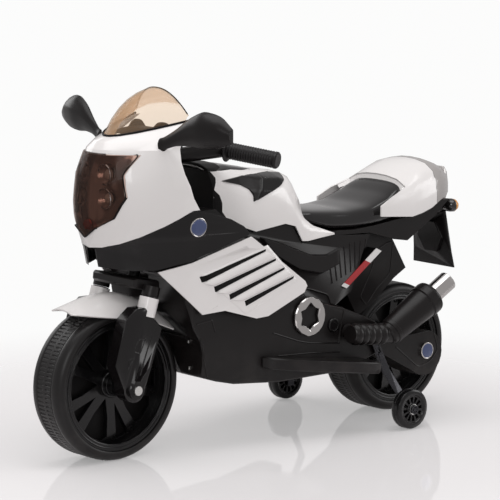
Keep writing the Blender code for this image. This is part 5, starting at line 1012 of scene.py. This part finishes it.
seatSpec = {
    "stations": [(-0.0795, 0.0440, 0.3625, 0.3500, 0.0170), (-0.0830, 0.0485, 0.3645, 0.3470, 0.0180),
                 (-0.0962, 0.0565, 0.3645, 0.3420, 0.0120), (-0.1242, 0.0620, 0.3625, 0.3305, 0.0040),
                 (-0.1642, 0.0650, 0.3597, 0.3282, 0.0), (-0.2092, 0.0700, 0.3640, 0.3305, 0.0),
                 (-0.2492, 0.0700, 0.3790, 0.3343, 0.0), (-0.2752, 0.0640, 0.3935, 0.3380, 0.0),
                 (-0.2800, 0.0610, 0.3950, 0.3400, 0.0)],
    "section": [(0.0, 1.0), (0.20, 0.999), (0.40, 0.990), (0.58, 0.972), (0.72, 0.945), (0.83, 0.905), (0.90, 0.855),
                (0.950, 0.785), (0.982, 0.690), (0.998, 0.580), (1.0, 0.450), (0.998, 0.300), (0.985, 0.170),
                (0.955, 0.070), (0.905, 0.015), (0.840, 0.0), (0.45, 0.0), (0.0, 0.0)],
    "rings": 60, "crowd": 1.3,
}
backSpec = {
    "edge": [(-0.2790, 0.0, 0.4020), (-0.2790, 0.0240, 0.4011), (-0.2790, 0.0496, 0.3970), (-0.2790, 0.0688, 0.3869),
             (-0.2560, 0.0745, 0.3790)],
    "seat": [(-0.2775, 0.0, 0.3925), (-0.2775, 0.0240, 0.3920), (-0.2775, 0.0490, 0.3890), (-0.2765, 0.0630, 0.3800),
             (-0.2560, 0.0705, 0.3740)],
}


# The seat is a grid of sections along its length, closest at its start: place = share^crowd. Each station is
# (x, half width, top, bottom, bow), each section (share of the half width, share of the height), and the edges stand
# before the middle by bow (y / half)^2.
def buildSeat():
    table = np.array(seatSpec["stations"])
    share = np.linspace(0, 1, seatSpec["rings"]) ** seatSpec["crowd"]
    x = np.interp(share, np.linspace(0, 1, len(table)), table[:, 0])
    rising = table[np.argsort(table[:, 0])]
    half, top, low, bow = (eased(np.interp(x, rising[:, 0], rising[:, k])[:, None], 3)[:, 0] for k in (1, 2, 3, 4))
    section = np.array(seatSpec["section"])
    left = np.zeros((len(x), len(section), 3))
    left[..., 0] = x[:, None] + bow[:, None] * section[None, :, 0] ** 2
    left[..., 1] = half[:, None] * section[None, :, 0]
    left[..., 2] = low[:, None] + (top - low)[:, None] * section[None, :, 1]
    right = left[:, -2:0:-1] * [1, -1, 1]
    addGrid("seat_shell", np.concatenate([left, right], 1), "seatBlack", "frame", 30, ("seat",), wrapColumns=True,
            caps=True)


# The backrest joins the front edge of the tail cover to the rear edge of the seat by straight lines.
def buildBack():
    edge = eased(along(backSpec["edge"], 24), 1)
    rear = eased(along(backSpec["seat"], 24), 1)
    edge = np.vstack([edge[:0:-1] * [1, -1, 1], edge])
    rear = np.vstack([rear[:0:-1] * [1, -1, 1], rear])
    s = np.linspace(0, 1, 6)[:, None, None]
    addGrid("seat_back", edge[None] * (1 - s) + rear[None] * s, "white")


buildSeat()
buildBack()
print("seat built")


# Mirrors

mirrorSpec = {
    "foot": (0.24275, 0.082, 0.4990), "along": (-0.20, 0.98, 0.0), "rings": 40,
    "stations": [(0.004, -0.006, 0.001, 0.0110, 0.0050), (0.002, 0.002, 0.004, 0.0100, 0.0035),
                 (-0.003, 0.023, 0.014, 0.0125, 0.0065), (-0.009, 0.050, 0.025, 0.0220, 0.0110),
                 (-0.014, 0.078, 0.030, 0.0300, 0.0150), (-0.022, 0.108, 0.029, 0.0260, 0.0140),
                 (-0.028, 0.130, 0.024, 0.0120, 0.0070)],
    "section": [(0.55, -0.74), (0.58, -0.35), (0.58, 0.10), (0.58, 0.50), (0.55, 0.80), (0.44, 0.94), (0.16, 1.0),
                (-0.22, 0.90), (-0.62, 0.70), (-0.90, 0.46), (-0.99, 0.30), (-1.0, 0.22), (-0.97, 0.05),
                (-0.84, -0.32), (-0.56, -0.68), (-0.18, -0.92), (0.16, -0.98), (0.42, -0.90)],
    "glass": (0.34, 0.93, 0.80), "glassPlace": 0.575, "glassLift": 0.0006, "glassEnd": 0.12, "glassPower": 0.35,
}


# A mirror is lofted: a point is centre + rear depth a + up height b, with (a, b) from the section and centre, height
# and depth from the stations. The glass lies on the section's rear, lifted a little, and its height falls off at its
# ends as sin^glassPower.
def buildMirror(side, node):
    spec = mirrorSpec
    run = np.array(spec["along"]) / np.linalg.norm(spec["along"])
    rear = np.array([-run[1], run[0], 0.0])
    upward = np.array([0.0, 0.0, 1.0])
    table = np.array(spec["stations"])
    at = np.linspace(0, len(table) - 1, spec["rings"])
    place = np.stack([np.interp(at, np.arange(len(table)), table[:, k]) for k in range(5)], 1)
    place = eased(place, 4)
    centre, high, deep = np.array(spec["foot"]) + place[:, :3], place[:, 3:4], place[:, 4:5]
    section = np.array(spec["section"])
    flip = np.array([1, side, 1])
    body = (centre[:, None] + rear * (deep[:, None] * section[None, :, :1])
            + upward * (high[:, None] * section[None, :, 1:]))
    addGrid(node + "_shell", body * flip, "satinBlack", bodyOf[node], 24, (node,), wrapColumns=True, caps=True)
    first, last, reach = spec["glass"]
    kept = slice(int(first * spec["rings"]), int(last * spec["rings"]))
    across = np.linspace(-reach, reach, 9)[None, :, None]
    share = np.linspace(spec["glassEnd"], 1.0 - spec["glassEnd"], len(high[kept]))
    ends = np.sin(share * math.pi)[:, None, None] ** spec["glassPower"]
    glass = (centre[kept][:, None] + rear * (deep[kept][:, None] * spec["glassPlace"] + spec["glassLift"])
             + upward * (high[kept][:, None] * across * ends))
    addGrid(node + "_glass", glass * flip, "mirrorGlass", bodyOf[node])


for side, tag in ((1, "left"), (-1, "right")):
    buildMirror(side, "mirror_" + tag)
print("mirrors built")


# Headlight

lampSpec = {
    "outline": [(0.0, 0.3555), (0.050, 0.388), (0.0630, 0.421), (0.0575, 0.457), (0.0660, 0.4865), (0.0, 0.4880)],
    "inset": 0.0035, "below": 0.004, "above": 0.003, "least": 0.002, "gap": 0.0042, "depth": 0.014,
    "wells": [(0.026, 0.455), (0.030, 0.418)], "wellDepth": 0.010, "wellRadius": 0.0135,
    "bulb": [(0.0, 0.0), (1.0, 0.0), (1.0, 0.15), (0.92, 0.45), (0.70, 0.75), (0.40, 0.93), (0.0, 1.0)],
    "bulbRadius": 0.0085, "bulbPlace": 0.8,
    "ring": [(1.0, -0.15), (1.10, -0.10), (1.16, 0.0), (1.10, 0.10), (1.0, 0.06), (0.96, -0.05)],
    "ringRadius": 0.0150, "ringPlace": 0.75,
    "red": (0.0, 0.3760), "redRadius": 0.0085, "redBack": 0.0135, "rimInset": 0.985, "rimBead": 0.0011,
}


# The bowl lies behind the lens by gap + depth (1 - |u|^3)(1 - |v|^4), and each well adds a bell, wellDepth
# exp(-(r / wellRadius)^4). Bulbs and plated rings are turned about x, and a bead runs round the lens.
def buildBowl():
    spec = lampSpec
    inner, forward = bodyOf["headlight_reflector"], (1, 0, 0)
    outline = np.array(spec["outline"])
    v = np.linspace(-1, 1, 44)[:, None]
    u = np.linspace(-1, 1, 52)[None, :]
    z = (outline[0, 1] + spec["below"]) * (1 - v) / 2 + (outline[-1, 1] - spec["above"]) * (1 + v) / 2
    half = np.interp(z, outline[:-1, 1], outline[:-1, 0]) - spec["inset"]
    y = u * np.maximum(half, spec["least"])
    z = z + 0 * y
    laid = dropOn(["headlight_lens"], launch(np.stack([y, z], -1), backward), backward)
    deep = spec["gap"] + spec["depth"] * (1 - np.abs(u) ** 3) * (1 - np.abs(v) ** 4)
    for wellY, wellZ in spec["wells"]:
        away = np.hypot(np.abs(y) - wellY, z - wellZ) / spec["wellRadius"]
        deep = deep + spec["wellDepth"] * np.exp(-away ** 4)
    laid[..., 0] -= deep
    addGrid("headlight_bowl", laid, "bowlGrey", inner, 40, ("headlight_reflector",))
    at = [(side * wellY, wellZ) for wellY, wellZ in spec["wells"] for side in (1, -1)]
    face = dropOn(["headlight_lens"], launch(np.array(at + [spec["red"]]), backward), backward)
    bulb, ring = np.array(spec["bulb"]), np.array(spec["ring"])
    for count, place in enumerate(face[:-1]):
        base = place - [spec["gap"] + spec["depth"] * spec["bulbPlace"] + spec["wellDepth"], 0, 0]
        addGrid(f"headlight_bulb_{count}", turnedGrid(bulb * spec["bulbRadius"], base, forward, 28), "bulb", inner,
                wrapRows=True)
        middle = place - [spec["gap"] + spec["depth"] * spec["ringPlace"], 0, 0]
        addGrid(f"headlight_ring_{count}", turnedGrid(ring * spec["ringRadius"], middle, forward, 36), "chrome", inner,
                wrapRows=True, wrapColumns=True)
    base = face[-1] - [spec["redBack"], 0, 0]
    addGrid("headlight_red", turnedGrid(bulb * spec["redRadius"], base, forward, 28), "lampRed", inner, wrapRows=True)
    edge = np.vstack([outline, outline[-2:0:-1] * [-1, 1]]) * [spec["rimInset"], 1.0]
    line = bead(edge, ["headlight_lens"], spec["rimBead"], 150, backward, closed=True, easing=1)
    addGrid("headlight_rim", line, "innerBlack", bodyOf["headlight_lens"], wrapRows=True, wrapColumns=True)


buildBowl()
print("headlight built")


# Tank front, screws and the boss on the body

endSpec = {
    "bulkhead": {"x": 0.1300, "from": 0.3640, "to": 0.4480, "thick": 0.0017, "behind": 0.0006, "over": 0.0004},
    "screws": [(0.1823, 0.0666, 0.1814), (0.1820, 0.0685, 0.1391)], "screwRadius": 0.0032,
    "head": [(0, 0.0006), (0.35, 0.0006), (0.40, 0.0016), (0.80, 0.0014), (1.0, 0.0004), (1.0, -0.0010),
             (0, -0.0010)],
    "boss": (-0.0925, 0.1000, 0.1801), "bossRadius": 0.0120,
    "rim": [(0, 0.0026), (0.70, 0.0026), (0.74, 0.0036), (0.92, 0.0034), (1.0, 0.0020), (1.0, -0.0010),
            (0, -0.0010)],
}


# A panel closes the front of the tank: rows at heights z, from one side to the other by y = u times the tank's half
# width there.
def buildBulkhead():
    spec = endSpec["bulkhead"]
    z = np.linspace(spec["from"], spec["to"], 24)
    edge = dropOn(tank, launch(np.stack([0 * z + spec["x"] - spec["behind"], z], 1), leftward), leftward)
    u = np.linspace(-1, 1, 25)[None, :]
    half = edge[:, 1:2] + spec["over"]
    face = np.stack([spec["x"] + 0 * half * u, half * u, z[:, None] + 0 * u], -1)
    ring = np.concatenate([face, (face + [spec["thick"], 0, 0])[:, ::-1]], 1)
    # Its black is partly the dark piece in front of the tank and partly painted shadow of the steering column and
    # handlebar.
    addGrid("tank_bulkhead", ring, "innerBlack", wrapColumns=True, caps=True)


# A low head on a panel, turned about y: a profile of (share of the radius, height).
def stud(name, place, profile, radius, paint):
    addPair(name, turnedGrid(np.array(profile) * [radius, 1.0], place, (0, 1, 0), 28), paint, wrapRows=True)


buildBulkhead()
for count, place in enumerate(endSpec["screws"]):
    stud(f"body_screw_{count}", place, endSpec["head"], endSpec["screwRadius"], "zinc")
stud("body_boss", endSpec["boss"], endSpec["rim"], endSpec["bossRadius"], "glossBlack")


# Windshield base and rim, and the instruments behind it

shieldSpec = {
    "front": (0.29275, 0.0, 0.5110), "rear": (0.18075, 0.070, 0.5330), "apex": (0.19375, 0.0, 0.5820),
    "gasket": 0.0019, "gasketLift": 0.0006, "rim": 0.0010, "rimReach": 0.93, "rimPower": 1.15, "rimDrop": 0.0012,
    "rimRear": 0.004, "rimLean": (1.0, 0.0, 0.2),
}
dashSpec = {
    "from": 0.190, "to": 0.262, "half": 0.046, "taper": 0.25, "floor": 0.5120, "hood": 0.0090,
    "ears": 0.0120, "earPlace": (0.78, 0.55), "earSize": (0.16, 0.40),
}


# With u the share of the way to a side, the base runs from front to rear as u^2, and the rim from the apex to the
# rear as u^2 along x and as |u|^(2 rimPower) in height.
def buildShieldTrim():
    spec = shieldSpec
    front, rear, top = (np.array(spec[key]) for key in ("front", "rear", "apex"))
    u = np.linspace(-1, 1, 81)
    base = front + (rear - front) * u[:, None] ** 2
    base[:, 1] = rear[1] * u
    base[:, 2] += spec["gasketLift"]
    addGrid("shield_gasket", carried(base, ringSection(spec["gasket"], 10)), "innerBlack", bodyOf["windshield"],
            wrapColumns=True, caps=True)
    u = np.linspace(-spec["rimReach"], spec["rimReach"], 81)
    edge = top + (rear - top) * u[:, None] ** 2
    edge[:, 1] = rear[1] * u
    edge[:, 2] = top[2] + (rear[2] + spec["rimRear"] - top[2]) * (u ** 2) ** spec["rimPower"] - spec["rimDrop"]
    addGrid("shield_rim", carried(edge, ringSection(spec["rim"]), spec["rimLean"]), "innerBlack",
            bodyOf["windshield"], wrapColumns=True, caps=True)


# The instruments: height = floor + hood (1 - u^4) (1 - v^2)^0.5 + ears exp(-a^4 - b^4), with a and b the distances
# from the middle of an ear in shares of its size.
def buildDash():
    spec = dashSpec
    v = np.linspace(-1, 1, 24)[:, None]
    u = np.linspace(-1, 1, 40)[None, :]
    x = (spec["from"] + spec["to"]) / 2 - v * (spec["to"] - spec["from"]) / 2
    y = spec["half"] * u * (1 - spec["taper"] * (1 - v) / 2)
    (earU, earV), (sizeU, sizeV) = spec["earPlace"], spec["earSize"]
    ears = np.exp(-((np.abs(u) - earU) / sizeU) ** 4 - ((v - earV) / sizeV) ** 4)
    z = spec["floor"] + spec["hood"] * (1 - u ** 4) * (1 - v ** 2) ** 0.5 + spec["ears"] * ears
    addGrid("instruments", np.stack([x + 0 * u, y, z], -1), "innerBlack", bodyOf["windshield"])


buildShieldTrim()
buildDash()
print("ends and small parts built")
